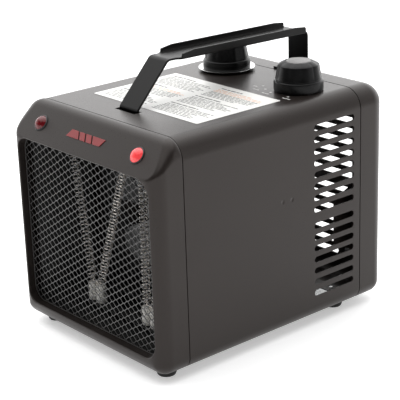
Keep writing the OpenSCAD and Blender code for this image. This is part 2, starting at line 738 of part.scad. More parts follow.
module fan_bulkhead() color(zinc) {
    difference() {
        along_y(y_bulk, y_bulk + inner_t) case_profile(sheet_t + slip_fit);
        y_cyl(y_bulk - 1, y_bulk + 3, fan_hole_r, z_fan, $fn = 96);
        // Clear of the base plate
        translate([-half_w, y_bulk - 1, z_base]) cube([case_w, 4, 2 * sheet_t + slip_fit]);
        for (x = [-1, 1]) y_cyl(y_bulk - 1, y_bulk + 3, screw_r + screw_fit, z_fan, x * (fan_hole_r + 7));
    }
    difference() {
        y_cyl(y_bulk - collar_len, y_bulk + inner_t, fan_hole_r + inner_t, z_fan, $fn = 96);
        y_cyl(y_bulk - collar_len - 1, y_bulk + 3, fan_hole_r, z_fan, $fn = 96);
    }
}

module fan_blade() color([0.7, 0.7, 0.72]) translate([0, blade_y, z_fan]) difference() {
    union() {
        y_cyl(-hub_len / 2, hub_len / 2, hub_r);
        for (k = [0 : blades - 1]) rotate([0, 360 / blades * k, 0]) rotate([0, 0, blade_pitch])
            along_y(-blade_t / 2, blade_t / 2) difference() {
                intersection() {
                    circle(fan_r, $fn = 96);
                    polygon([[-5, hub_r - 4], [5, hub_r - 4], [20, fan_r * 0.7], [19, fan_r + 4], [-19, fan_r + 4], [-20, fan_r * 0.7]]);
                }
                circle(hub_r - 2);
            }
    }
    y_cyl(-hub_len, hub_len, motor_shaft_r + 0.02);
}

module fan_clip() color(zinc) difference() {
    y_cyl(shaft_y0 + 1, shaft_y0 + 2.5, 4.5, z_fan);
    y_cyl(shaft_y0 - 1, shaft_y0 + 4, motor_shaft_r + 0.02, z_fan);
}

mount_w = 2 * (fan_hole_r + 12);

// Bridge behind the bulkhead that carries the motor
module motor_mount() color(zinc) difference() {
    union() {
        translate([-mount_w / 2 + 10, mount_y, z_fan - 9]) cube([mount_w - 20, bracket_t, 18]);
        for (x = [-1, 1]) {
            translate([x * (mount_w / 2 - 10) - bracket_t / 2, y_bulk + inner_t, z_fan - 9])
                cube([bracket_t, mount_y - y_bulk - inner_t + bracket_t, 18]);
            translate([x * (mount_w / 2 - 5.5) - 5.5, y_bulk + inner_t, z_fan - 9]) cube([11, bracket_t, 18]);
        }
    }
    y_cyl(mount_y - 1, mount_y + 3, bearing_r + 1, z_fan);
    for (x = [-1, 1]) y_cyl(mount_y - 1, mount_y + 3, screw_r, z_fan, x * stator_bolt);
    for (x = [-1, 1]) y_cyl(y_bulk, y_bulk + 4, screw_r + screw_fit, z_fan, x * (fan_hole_r + 7));
}

stator_bolt = stator_w / 2 - 5;

module motor_shaft() color(bright) y_cyl(shaft_y0, shaft_y1, motor_shaft_r, z_fan);

module motor_rotor() color(zinc) difference() {
    y_cyl(stator_y0 + 0.5, stator_y0 + stator_len - 0.5, rotor_r, z_fan);
    y_cyl(stator_y0 - 1, stator_y0 + stator_len + 1, motor_shaft_r + 0.02, z_fan);
}

// Lamination stack: a block around the rotor and a window that the coil fills
window_w = 30;
window_h = 14;
core_h = 10;
z_window = z_fan - rotor_r - 6 - window_h / 2;
stator_low = z_window - window_h / 2 - core_h;
module motor_stator() color([0.45, 0.46, 0.48]) difference() {
    translate([-stator_w / 2, stator_y0, stator_low]) cube([stator_w, stator_len, z_fan + rotor_r + 8 - stator_low]);
    y_cyl(stator_y0 - 1, stator_y0 + stator_len + 1, rotor_r + rotor_gap, z_fan);
    translate([-window_w / 2, stator_y0 - 1, z_window - window_h / 2]) cube([window_w, stator_len + 2, window_h]);
    for (x = [-1, 1]) y_cyl(stator_y0 - 1, stator_y0 + stator_len + 1, screw_r, z_fan, x * stator_bolt);
}

// Coil bobbin wound round the bottom leg of the stack
module motor_coil() color([0.6, 0.3, 0.15]) difference() {
    translate([-window_w / 2 + 0.3, stator_y0 - 6, stator_low - 8])
        cube([window_w - 0.6, stator_len + 12, z_window + window_h / 2 - 0.5 - stator_low + 8]);
    translate([-half_w, stator_y0 - 0.05, stator_low - 0.05]) cube([case_w, stator_len + 0.1, core_h + 0.1]);
}

module end_bracket(y0) difference() {
    translate([-stator_w / 2, y0, z_fan - 9]) cube([stator_w, bracket_t, 18]);
    y_cyl(y0 - 1, y0 + 3, bearing_r + 0.02, z_fan);
    for (x = [-1, 1]) y_cyl(y0 - 1, y0 + 3, screw_r, z_fan, x * stator_bolt);
}

bracket_y0 = stator_y0 - bracket_gap;
bracket_y1 = stator_y0 + stator_len + bracket_gap - bracket_t;

// Bearing plates in front of and behind the rotor, with their spacers and bolts
module motor_end_brackets() color(zinc) {
    end_bracket(bracket_y0);
    end_bracket(bracket_y1);
    for (x = [-1, 1]) y_cyl(mount_y - 2, bracket_y1 + bracket_t + 2, screw_r, z_fan, x * stator_bolt);
    for (x = [-1, 1]) for (y = [bracket_y0 + bracket_t, stator_y0 + stator_len])
        difference() {
            y_cyl(y, y + bracket_gap - bracket_t, screw_r + 2, z_fan, x * stator_bolt);
            y_cyl(y - 1, y + bracket_gap, screw_r, z_fan, x * stator_bolt);
        }
}

module motor_bearings() color([0.7, 0.55, 0.3]) for (y = [bracket_y0 - 2, bracket_y1 - 2.5]) difference() {
    y_cyl(y, y + bearing_len, bearing_r, z_fan);
    y_cyl(y - 1, y + bearing_len + 1, motor_shaft_r + run_fit, z_fan);
}

// ---------- Safety switch, wiring ----------

tip_x = -58;
tip_y = y_seam_r - 38;
z_floor_in = z_in_base + sheet_t;
pivot_z = z_floor_in + 40;
pivot_r = 1.5;
arm_len = 24;
tip_switch_top = z_floor_in + 56;

// Switch frame: a foot, two cheeks that hold the pendulum's pivot, and a micro switch on top
module tip_over_switch() color([0.2, 0.2, 0.22]) translate([tip_x, tip_y, 0]) {
    translate([-14, -12, z_floor_in]) cube([28, 24, 2]);
    for (x = [-1, 1]) difference() {
        translate([x * 9 - 1.5, -7, z_floor_in + 2]) cube([3, 14, 44]);
        translate([x * 9, 0, pivot_z]) rotate([0, 90, 0]) cylinder(h = 5, r = pivot_r + run_fit, center = true);
    }
    translate([-10.5, -7, tip_switch_top - 10]) cube([21, 14, 10]);
}

// Weight on an arm that hangs from its own cross pin
module tip_over_pendulum() color(zinc) translate([tip_x, tip_y, pivot_z]) {
    rotate([0, 90, 0]) cylinder(h = 20, r = pivot_r, center = true);
    translate([-1.5, -2, -arm_len]) cube([3, 4, arm_len]);
    translate([0, 0, -arm_len - 2]) rotate([0, 90, 0]) cylinder(h = 12, r = 6, center = true);
}

block_x = half_w - 30;
block_y = y_seam_r - 48;
module terminal_block() color([0.72, 0.72, 0.7]) translate([block_x, block_y, z_floor_in]) difference() {
    union() {
        translate([-16, -9, 0]) cube([32, 18, 8]);
        for (x = [-10, 0, 10]) translate([x - 4, -7, 8]) cube([8, 14, 10]);
    }
    for (x = [-10, 0, 10]) translate([x, 0, 12]) cylinder(h = 8, r = 2.4);
}

lead_r = 1.3;
block_top = z_floor_in + 18;
select_low = z_in_top - control_body_h;
motor_low = stator_low - 8;

// Straight stretch at each end of a lead
lead_end = 3;

module live_lead() color([0.5, 0.05, 0.05]) wire([
    [block_x + 10, block_y - 3.5, block_top],
    [block_x + 10, block_y - 3.5, block_top + lead_end],
    [block_x + 12, block_y - 6, block_top + 14],
    [half_w - 12, block_y - 7, z_base + 110],
    [half_w - 14, block_y - 5, z_base + 142],
    [select_x + 9, select_yy - 2, select_low - 12],
    [select_x + 9, select_yy, select_low - lead_end],
    [select_x + 9, select_yy, select_low]], lead_r);

module neutral_lead() color([0.85, 0.85, 0.82]) wire([
    [block_x - 10, block_y - 3.5, block_top],
    [block_x - 10, block_y - 3.5, block_top + lead_end],
    [block_x - 12, block_y - 8, block_top + 20],
    [tip_x + 30, tip_y - 12, z_floor_in + 70],
    [tip_x + 4, tip_y - 1, z_floor_in + 74],
    [tip_x, tip_y, tip_switch_top + lead_end],
    [tip_x, tip_y, tip_switch_top]], lead_r);

module motor_leads() color([0.9, 0.9, 0.9]) for (s = [-1, 1]) wire([
    [s * 5, stator_y0 + stator_len + 5, motor_low],
    [s * 5, stator_y0 + stator_len + 5, motor_low - lead_end],
    [s * 5 + 4, stator_y0 + stator_len + 8, motor_low - 14],
    [block_x - 30 + s * 3, block_y - 18, block_top + 8 + s * 3],
    [block_x + s * 2.4, block_y - 8, block_top + 9],
    [block_x + s * 2.4, block_y - 4.5, block_top + lead_end],
    [block_x + s * 2.4, block_y - 4.5, block_top]], 1);

// Rubber bushing where the mains lead enters the rear cover
module cord_inlet_bushing() color(plastic) {
    y_wall = y_back - rear_draft;
    difference() {
        union() {
            y_cyl(y_wall - inlet_flange - sheet_t, y_wall + 3, inlet_r, inlet_z, inlet_x);
            y_cyl(y_wall - inlet_flange - sheet_t, y_wall - sheet_t - 0.4, inlet_r + 2, inlet_z, inlet_x);
        }
        y_cyl(y_wall - 12, y_wall + 6, cord_hole_r, inlet_z, inlet_x);
    }
}

// ---------- Feet ----------

module rubber_feet() color(plastic) for (p = foot_places) translate([p[0], p[1], 0]) difference() {
    cylinder(h = foot_h, r1 = foot_r - 1, r2 = foot_r);
    translate([0, 0, -1]) cylinder(h = foot_recess + 1, r = screw_head_r + 0.5);
    cylinder(h = foot_h + 1, r = screw_r + 0.1);
}

module foot_screws() color(zinc) for (p = foot_places) translate([p[0], p[1], foot_recess])
    rotate([180, 0, 0]) pan_screw(foot_h);

front_bezel();
case_wrap();
rear_cover();
base_plate();
grille_mesh();
front_badge();
info_label();
handle();
handle_screws();
cover_screws();
power_lamp_lens();
heat_lamp_lens();
lamp_housings();
thermostat_knob();
thermostat_knob_cap();
thermostat_dial_ring();
thermostat_shaft();
thermostat_body();
thermostat_nut();
selector_knob();
selector_knob_cap();
selector_shaft();
selector_switch();
selector_nut();
element_frame();
element_bars();
coil_insulators();
low_heat_coil();
high_heat_coil();
coil_terminals();
limit_thermostat();
thermal_fuse();
fan_bulkhead();
fan_blade();
fan_clip();
motor_mount();
motor_shaft();
motor_rotor();
motor_stator();
motor_coil();
motor_end_brackets();
motor_bearings();
tip_over_switch();
tip_over_pendulum();
terminal_block();
live_lead();
neutral_lead();
motor_leads();
cord_inlet_bushing();
rubber_feet();
foot_screws();
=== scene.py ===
"""Looks of a portable fan heater: painted sheet-metal case, expanded-metal grille, coil element,
two control knobs and a strap handle. Lengths are millimetres until a mesh is made."""

import json
import math
import random

import bmesh
import bpy
from mathutils import Matrix, Vector
from mathutils.geometry import delaunay_2d_cdt


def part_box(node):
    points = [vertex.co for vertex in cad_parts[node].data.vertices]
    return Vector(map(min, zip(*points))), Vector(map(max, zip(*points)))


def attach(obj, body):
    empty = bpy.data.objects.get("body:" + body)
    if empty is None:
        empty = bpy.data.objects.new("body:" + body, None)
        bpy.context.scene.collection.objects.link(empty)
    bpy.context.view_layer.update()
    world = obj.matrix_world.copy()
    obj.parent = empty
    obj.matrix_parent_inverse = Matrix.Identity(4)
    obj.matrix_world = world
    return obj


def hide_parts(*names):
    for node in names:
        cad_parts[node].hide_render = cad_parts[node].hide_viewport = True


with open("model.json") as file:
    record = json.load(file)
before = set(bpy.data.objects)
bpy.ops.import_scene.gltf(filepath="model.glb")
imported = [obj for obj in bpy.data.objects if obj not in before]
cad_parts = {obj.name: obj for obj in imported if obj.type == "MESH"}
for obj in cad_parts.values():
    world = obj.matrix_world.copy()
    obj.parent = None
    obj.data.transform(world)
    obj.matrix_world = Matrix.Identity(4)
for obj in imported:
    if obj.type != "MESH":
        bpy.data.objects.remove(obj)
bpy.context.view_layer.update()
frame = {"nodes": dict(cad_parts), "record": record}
MM = 0.001


def cad(node):
    """Lowest and highest corner of a CAD node, in millimetres."""
    low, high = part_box(node)
    return low / MM, high / MM


def cad_centre(node):
    low, high = cad(node)
    return (low + high) / 2


# ---------------------------------------------------------------- stations, from the CAD boxes

BEZEL_LOW, BEZEL_HIGH = cad("front_bezel")
WRAP_LOW, WRAP_HIGH = cad("case_wrap")
COVER_LOW, COVER_HIGH = cad("rear_cover")
MESH_LOW, MESH_HIGH = cad("grille_mesh")
HANDLE_LOW, HANDLE_HIGH = cad("handle")
LABEL_LOW, LABEL_HIGH = cad("info_label")
HALF_W = WRAP_HIGH.x
Z_BASE = WRAP_LOW.z
Z_TOP = WRAP_HIGH.z
Y_FRONT = BEZEL_LOW.y
Y_SEAM_F = WRAP_LOW.y
Y_SEAM_R = WRAP_HIGH.y
Y_BACK = COVER_HIGH.y
SEAM_GAP = 0.8
SHEET = 1.0
TOP_R = 18.0
BASE_R = 12.0
FRONT_R = 14.0
REAR_R = 18.0
REAR_DRAFT = 4.0
NOSE_R = 11.0
LIP_R = 3.0
LIP_Z = Z_TOP - 27.0 - LIP_R
NOSE_Y = Y_FRONT + 18.3 + NOSE_R
OPENING_W = 181.0
OPENING_H = 155.5
OPENING_R = 13.0
OPENING_Z = (MESH_LOW.z + MESH_HIGH.z) / 2
SLOT_LEN = 49.5
SLOT_H = 5.6
SLOT_PITCH = 10.6
SLOT_TOP = 22.5
SLOT_BAR = 4.8
UPPER_SLOTS = 8
SIDE_SLOTS = 15
REAR_SLOTS = 15
REAR_SLOT_LEN = 66.0
REAR_SLOT_SHORT = 36.0
LEG_BACK = 24.5
LEG_RUN = 36.0
LEG_RISE = 38.5


def slot_height(i):
    return Z_TOP - SLOT_TOP - i * SLOT_PITCH - (SLOT_BAR if i >= UPPER_SLOTS else 0)


# ---------------------------------------------------------------- materials


class Nodes:
    """Short-hand for building one material's node tree."""

    def __init__(self, name):
        self.material = bpy.data.materials.new(name)
        self.material.use_nodes = True
        self.tree = self.material.node_tree
        self.shader = self.tree.nodes["Principled BSDF"]
        self.place = self.add("ShaderNodeTexCoord").outputs["Object"]

    def add(self, kind, **settings):
        node = self.tree.nodes.new(kind)
        for key, value in settings.items():
            setattr(node, key, value)
        return node

    def link(self, source, target):
        self.tree.links.new(source, target)

    def set(self, **values):
        for key, value in values.items():
            self.shader.inputs[key.replace("_", " ")].default_value = value

    def noise(self, scale, detail=2.0, rough=0.5, stretch=None):
        node = self.add("ShaderNodeTexNoise")
        node.inputs["Scale"].default_value = scale
        node.inputs["Detail"].default_value = detail
        node.inputs["Roughness"].default_value = rough
        source = self.place
        if stretch:
            mapping = self.add("ShaderNodeMapping")
            mapping.inputs["Scale"].default_value = stretch
            self.link(self.place, mapping.inputs["Vector"])
            source = mapping.outputs["Vector"]
        self.link(source, node.inputs["Vector"])
        return node.outputs["Fac"]

    def ramp(self, factor, stops):
        node = self.add("ShaderNodeValToRGB")
        elements = node.color_ramp.elements
        while len(elements) < len(stops):
            elements.new(0.5)
        for element, (at, colour) in zip(elements, stops):
            element.position = at
            element.color = (*colour, 1.0) if len(colour) == 3 else colour
        self.link(factor, node.inputs["Fac"])
        return node.outputs["Color"]

    def span(self, factor, low, high):
        node = self.add("ShaderNodeMapRange")
        node.inputs["From Min"].default_value = 0.3
        node.inputs["From Max"].default_value = 0.7
        node.inputs["To Min"].default_value = low
        node.inputs["To Max"].default_value = high
        self.link(factor, node.inputs["Value"])
        return node.outputs["Result"]

    def bump(self, factor, strength, depth):
        node = self.add("ShaderNodeBump")
        node.inputs["Strength"].default_value = strength
        node.inputs["Distance"].default_value = depth
        self.link(factor, node.inputs["Height"])
        self.link(node.outputs["Normal"], self.shader.inputs["Normal"])


def shade(colour, factor):
    return tuple(min(1.0, c * factor) for c in colour)


def finish_of(name, colour, rough, spread=0.12, metal=0.0, grain=700.0, bump=0.15, depth=0.0001,
              wide=14.0, stretch=None, coat=0.0, specular=0.5, rough_spread=0.06,
              sheen_tint=(1.0, 1.0, 1.0)):
    """A surface whose colour, gloss and height all vary a little, at a wide and at a fine scale."""
    n = Nodes(name)
    broad = n.noise(wide, 3.0, 0.55)
    fine = n.noise(grain, 2.0, 0.6, stretch)
    tone = n.ramp(broad, [(0.3, shade(colour, 1 - spread)), (0.7, shade(colour, 1 + spread))])
    speck = n.ramp(fine, [(0.35, shade((1, 1, 1), 1 - spread)), (0.65, (1, 1, 1))])
    mix = n.add("ShaderNodeMix", data_type="RGBA", blend_type="MULTIPLY")
    mix.inputs["Factor"].default_value = 1.0
    n.link(tone, mix.inputs["A"])
    n.link(speck, mix.inputs["B"])
    n.link(mix.outputs["Result"], n.shader.inputs["Base Color"])
    n.link(n.span(fine, rough - rough_spread, rough + rough_spread), n.shader.inputs["Roughness"])
    n.bump(fine, bump, depth)
    n.set(Metallic=metal, Coat_Weight=coat, Specular_IOR_Level=specular, Specular_Tint=(*sheen_tint, 1.0))
    return n.material


def lamp_finish(name, colour, glow):
    """Clear red lens; a lit one glows all over."""
    n = Nodes(name)
    fine = n.noise(260.0, 1.0)
    n.link(n.ramp(fine, [(0.3, shade(colour, 0.82)), (0.7, colour)]), n.shader.inputs["Base Color"])
    n.link(n.span(fine, 0.08, 0.16), n.shader.inputs["Roughness"])
    n.set(Coat_Weight=0.1, Specular_IOR_Level=0.4)
    if glow:
        n.link(n.ramp(fine, [(0.3, (0.75, 0.035, 0.045)), (0.7, (0.9, 0.07, 0.075))]),
               n.shader.inputs["Emission Color"])
        n.set(Emission_Strength=glow)
    return n.material


PAINT = (0.0165, 0.013, 0.0116)
# Colour, roughness, spread of both, and what else sets a finish apart
FINISHES = {
    "case_paint": (PAINT, 0.33, 0.06, dict(
        grain=1500.0, bump=0.22, depth=0.00006, specular=0.3, sheen_tint=(1.0, 0.93, 0.9))),
    "mesh_paint": ((0.034, 0.032, 0.031), 0.4, 0.2, dict(grain=1200.0, bump=0.3)),
    "handle_paint": ((0.004, 0.0036, 0.0034), 0.36, 0.1, dict(
        grain=1500.0, bump=0.2, depth=0.00006, specular=0.16)),
    "knob_plastic": ((0.004, 0.004, 0.0042), 0.3, 0.15, dict(
        grain=2500.0, bump=0.12, depth=0.00005, specular=0.18)),
    # knob_cap: pale satin metal whose light grey also stands in for a painted highlight of the overhead
    # light on the knob tops
    "knob_cap": ((0.17, 0.165, 0.162), 0.33, 0.08, dict(metal=0.75, grain=900.0, stretch=(1, 12, 1))),
    "dial_ring": ((0.62, 0.62, 0.62), 0.2, 0.06, dict(metal=0.95, grain=900.0, bump=0.1)),
    "rubber_black": ((0.012, 0.012, 0.012), 0.72, 0.2, dict(grain=1800.0, bump=0.4)),
    "black_plastic": ((0.018, 0.018, 0.019), 0.45, 0.15, dict(grain=1600.0)),
    "grey_plastic": ((0.3, 0.3, 0.29), 0.5, 0.08, dict(grain=1600.0)),
    "bakelite": ((0.5, 0.42, 0.28), 0.48, 0.14, dict(grain=1100.0)),
    "label_film": ((0.74, 0.735, 0.71), 0.4, 0.03, dict(grain=500.0, bump=0.05)),
    "badge_red": ((0.24, 0.008, 0.01), 0.35, 0.1, dict(grain=1200.0)),
    "zinc_steel": ((0.55, 0.56, 0.56), 0.3, 0.1, dict(metal=0.95, grain=600.0)),
    "duct_steel": ((0.05, 0.05, 0.05), 0.6, 0.2, dict(metal=0.7, grain=500.0, stretch=(1, 1, 9))),
    "lamination": ((0.24, 0.24, 0.25), 0.42, 0.15, dict(
        metal=0.85, grain=900.0, stretch=(0.2, 3.0, 0.2), bump=0.5)),
    "winding": ((0.5, 0.17, 0.06), 0.3, 0.2, dict(
        metal=0.8, grain=1200.0, stretch=(0.2, 2.0, 0.2), bump=0.6)),
    "bearing_bronze": ((0.55, 0.36, 0.16), 0.35, 0.12, dict(metal=0.9)),
    "fan_alu": ((0.2, 0.2, 0.2), 0.5, 0.08, dict(metal=0.8, grain=500.0, stretch=(8, 1, 1))),
    "ceramic_white": ((0.9, 0.88, 0.83), 0.32, 0.06, dict(grain=900.0, coat=0.3)),
    "heating_wire": ((0.8, 0.75, 0.7), 0.34, 0.2, dict(metal=0.7, grain=700.0)),
    "wire_red": ((0.32, 0.015, 0.012), 0.42, 0.1, dict(grain=900.0)),
    "wire_white": ((0.7, 0.69, 0.66), 0.45, 0.08, dict(grain=900.0)),
    "print_grey": ((0.13, 0.13, 0.125), 0.55, 0.25, dict(grain=900.0)),
    "print_orange": ((0.72, 0.42, 0.26), 0.55, 0.15, dict(grain=900.0)),
    "print_white": ((0.62, 0.62, 0.6), 0.5, 0.08, dict(grain=900.0)),
}
M = {name: finish_of(name, colour, rough, spread, **rest)
     for name, (colour, rough, spread, rest) in FINISHES.items()}
M["lamp_red_dark"] = lamp_finish("lamp_red_dark", (0.13, 0.004, 0.007), 0)
M["lamp_red_lit"] = lamp_finish("lamp_red_lit", (0.7, 0.06, 0.06), 0.5)

# ---------------------------------------------------------------- mesh helpers


def new_piece(name, points, faces):
    """An object from points in millimetres and faces."""
    mesh = bpy.data.meshes.new(name)
    mesh.from_pydata([Vector(p) * MM for p in points], [], faces)
    mesh.validate()
    obj = bpy.data.objects.new(name, mesh)
    bpy.context.scene.collection.objects.link(obj)
    return obj


def edit(obj, work):
    """Runs work(bm) on the object's mesh."""
    bm = bmesh.new()
    bm.from_mesh(obj.data)
    work(bm)
    bm.to_mesh(obj.data)
    bm.free()


def weld(obj, distance=0.002, outward=True):
    def work(bm):
        bmesh.ops.remove_doubles(bm, verts=bm.verts, dist=distance * MM)
        if outward:
            bmesh.ops.recalc_face_normals(bm, faces=bm.faces)
    edit(obj, work)


def settle(obj):
    """Applies the object's modifiers."""
    graph = bpy.context.evaluated_depsgraph_get()
    mesh = bpy.data.meshes.new_from_object(obj.evaluated_get(graph))
    obj.modifiers.clear()
    obj.data = mesh


def smooth(obj, angle=32.0):
    obj.data.polygons.foreach_set("use_smooth", [True] * len(obj.data.polygons))
    obj.data.set_sharp_from_angle(angle=math.radians(angle))


def bevel_edges(obj, width, segments, angle):
    bevel = obj.modifiers.new("edges", "BEVEL")
    bevel.width = width * MM
    bevel.segments = segments
    bevel.limit_method = "ANGLE"
    bevel.angle_limit = math.radians(angle)
    bevel.use_clamp_overlap = True


def keep_flats(obj):
    obj.modifiers.new("flats", "WEIGHTED_NORMAL").keep_sharp = True


def soften(obj, width, segments, angle):
    """Rounds the edges that are sharper than angle and keeps the flat faces flat."""
    bevel_edges(obj, width, segments, angle)
    settle(obj)
    smooth(obj)
    keep_flats(obj)


def thicken(obj, thickness, offset=-1, even=True):
    """Gives an open skin a thickness: away from the side that its faces look to, or with 0 both ways."""
    solid = obj.modifiers.new("sheet", "SOLIDIFY")
    solid.thickness = thickness * MM
    solid.offset = offset
    solid.use_even_offset = even
    settle(obj)


def finish(obj, material, body="case", node=None):
    """Gives a piece its material and its body, and hides the CAD node that it stands for, where there is
    one.
    """
    obj.data.materials.clear()
    obj.data.materials.append(M[material])
    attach(obj, body)
    if node:
        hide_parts(node)
    return obj


SLOTS = {m["slot"] for m in frame["record"]["materials"]}


def join(name, objects):
    """One object from several."""
    bm = bmesh.new()
    for obj in objects:
        part = obj.data.copy()
        part.transform(obj.matrix_world)
        bm.from_mesh(part)
    mesh = bpy.data.meshes.new(name)
    bm.to_mesh(mesh)
    bm.free()
    for obj in objects:
        bpy.data.objects.remove(obj)
    out = bpy.data.objects.new(name, mesh)
    bpy.context.scene.collection.objects.link(out)
    return out


def cut(obj, cutters):
    """Takes the cutters away from a closed object."""
    tool = join("cutter", cutters)
    weld(tool)
    boolean = obj.modifiers.new("cut", "BOOLEAN")
    boolean.operation = "DIFFERENCE"
    boolean.solver = "EXACT"
    boolean.object = tool
    settle(obj)
    bpy.data.objects.remove(tool)


def loft(name, rings, closed=True, caps=False, loop=False):
    """A skin through rings of equally many points."""
    count = len(rings[0])
    points = [p for ring in rings for p in ring]
    faces = []
    last = len(rings) if loop else len(rings) - 1
    for i in range(last):
        a, b = i * count, (i + 1) % len(rings) * count
        for k in range(count if closed else count - 1):
            n = (k + 1) % count
            faces.append((a + k, a + n, b + n, b + k))
    if caps:
        faces.append(tuple(range(count))[::-1])
        faces.append(tuple(range(len(points) - count, len(points))))
    return new_piece(name, points, faces)


def lathe(name, profile, steps=64, place=Matrix.Identity(4), radius=None):
    """Turns a profile of (radius, height) pairs about the local Z axis; radius(r, z, angle) may vary it."""
    rings = []
    for r, z in profile:
        ring = []
        for k in range(steps):
            a = 2 * math.pi * k / steps
            rr = radius(r, z, a) if radius else r
            ring.append(place @ Vector((rr * math.cos(a), rr * math.sin(a), z)))
        rings.append(ring)
    obj = loft(name, rings)
    weld(obj)
    return obj


def peg(name, r, low, high, steps, place):
    """A round pin, to cut a hole with or to print a dot."""
    return lathe(name, [(0.001, low), (r, low), (r, high), (0.001, high)], steps, place)


def facing(direction, origin):
    """A matrix whose Z axis points along direction."""
    z = Vector(direction).normalized()
    return Matrix.Translation(Vector(origin)) @ z.to_track_quat("Z", "Y").to_matrix().to_4x4()


BLOCK_FACES = [(0, 3, 2, 1), (4, 5, 6, 7), (0, 1, 5, 4), (1, 2, 6, 5), (2, 3, 7, 6), (3, 0, 4, 7)]


def block_points(x, y, z):
    """Corners of a block between two values of X, of Y and of Z."""
    return [(a, b, c) for c in z for a, b in ((x[0], y[0]), (x[1], y[0]), (x[1], y[1]), (x[0], y[1]))]


def tube(name, path, radius, sides=8):
    """A round bar along a path of points."""
    path = [Vector(p) for p in path]
    rings = []
    normal = None
    for i, p in enumerate(path):
        d = (path[min(i + 1, len(path) - 1)] - path[max(i - 1, 0)]).normalized()
        if normal is None:
            normal = d.orthogonal().normalized()
        normal = (normal - d * normal.dot(d)).normalized()
        side = d.cross(normal)
        rings.append([p + radius * (math.cos(a) * normal + math.sin(a) * side)
                      for a in (2 * math.pi * k / sides for k in range(sides))])
    return loft(name, rings, caps=True)


def arc(cx, cy, r, start, end, steps):
    """Points of an arc, angles in degrees."""
    angles = (start + (end - start) * k / steps for k in range(steps + 1))
    return [(cx + r * math.cos(math.radians(a)), cy + r * math.sin(math.radians(a))) for a in angles]


def outline(half_w, low, high, r_top, r_low, across=16, up=16, corner=10):
    """A rounded rectangle of X and Z, from the middle of its lower side, always with as many points."""
    def line(a, b, steps):
        return [(a[0] + (b[0] - a[0]) * k / steps, a[1] + (b[1] - a[1]) * k / steps)
                for k in range(1, steps)]
    points = [(0, low)]
    for x, z, r, start, steps in ((half_w - r_low, low + r_low, r_low, -90, across // 2),
                                  (half_w - r_top, high - r_top, r_top, 0, up),
                                  (-half_w + r_top, high - r_top, r_top, 90, across),
                                  (-half_w + r_low, low + r_low, r_low, 180, up)):
        bend = arc(x, z, r, start, start + 90, corner)
        points += line(points[-1], bend[0], steps) + bend
    return points + line(points[-1], points[0], across // 2)


def stadium(cx, cy, length, height, steps=8):
    """Outline of a slot with round ends."""
    r = height / 2
    half = length / 2 - r
    return arc(cx + half, cy, r, -90, 90, steps) + arc(cx - half, cy, r, 90, 270, steps)


def punched(border, holes, lines=()):
    """Triangles that fill a border except for its holes. Lines are extra edges, to bend along."""
    points = []
    edges = []

    def add(loop, closed=True):
        base = len(points)
        points.extend(Vector(p) for p in loop)
        count = len(loop)
        edges.extend((base + k, base + (k + 1) % count) for k in range(count if closed else count - 1))

    add(border)
    for hole in holes:
        add(hole)
    for line in lines:
        add(line, False)
    out, _, faces, *_ = delaunay_2d_cdt(points, edges, [], 0, 1e-5)
    boxes = [(min(p[0] for p in h), max(p[0] for p in h), min(p[1] for p in h), max(p[1] for p in h), h)
             for h in holes]

    def inside(loop, x, y):
        odd = False
        for k, (x1, y1) in enumerate(loop):
            x0, y0 = loop[k - 1]
            if (y0 > y) != (y1 > y) and x < x0 + (y - y0) * (x1 - x0) / (y1 - y0):
                odd = not odd
        return odd

    kept = []
    for face in faces:
        x = sum(out[i][0] for i in face) / len(face)
        y = sum(out[i][1] for i in face) / len(face)
        if not inside(border, x, y):
            continue
        if any(b[0] < x < b[1] and b[2] < y < b[3] and inside(b[4], x, y) for b in boxes):
            continue
        kept.append(tuple(face))
    return [tuple(p) for p in out], kept


# ---------------------------------------------------------------- camera, floor and light

CAMERA_AT = Vector((0.8914, -0.7581, 0.5243))
CAMERA_AZIMUTH = math.radians(49.76)
CAMERA_ELEVATION = math.radians(19.68)
CAMERA_ROLL = math.radians(-1.93)
CAMERA_LENS = 123.47


def make_camera():
    az, el, roll = CAMERA_AZIMUTH, CAMERA_ELEVATION, CAMERA_ROLL
    back = Vector((math.sin(az) * math.cos(el), -math.cos(az) * math.cos(el), math.sin(el)))
    level = Vector((math.cos(az), math.sin(az), 0))
    upright = back.cross(level)
    right = math.cos(roll) * level + math.sin(roll) * upright
    up = back.cross(right)
    data = bpy.data.cameras.new("camera")
    data.lens = CAMERA_LENS
    data.sensor_width = 36.0
    data.clip_start = 0.05
    camera = bpy.data.objects.new("camera", data)
    camera.matrix_world = Matrix.Translation(CAMERA_AT) @ Matrix((right, up, back)).transposed().to_4x4()
    bpy.context.scene.collection.objects.link(camera)
    bpy.context.scene.camera = camera


def make_floor():
    n = Nodes("floor_white")
    fine = n.noise(3.0, 2.0)
    n.link(n.ramp(fine, [(0.3, (0.9, 0.9, 0.9)), (0.7, (0.92, 0.92, 0.92))]), n.shader.inputs["Base Color"])
    # a table lit from inside, which keeps the shadows pale
    n.link(n.ramp(fine, [(0.3, (0.98, 0.98, 0.98)), (0.7, (1, 1, 1))]), n.shader.inputs["Emission Color"])
    n.set(Roughness=0.9, Specular_IOR_Level=0.2, Emission_Strength=0.42)
    half = 6000.0
    floor = new_piece("floor", [(-half, -half, 0), (half, -half, 0), (half, half, 0), (-half, half, 0)],
                      [(0, 1, 2, 3)])
    floor.data.materials.append(n.material)


def area_light(name, at, towards, size, power):
    data = bpy.data.lights.new(name, "AREA")
    data.shape = "RECTANGLE"
    data.size, data.size_y = size
    data.energy = power
    light = bpy.data.objects.new(name, data)
    at = Vector(at)
    light.matrix_world = facing(at - Vector(towards), at)
    bpy.context.scene.collection.objects.link(light)


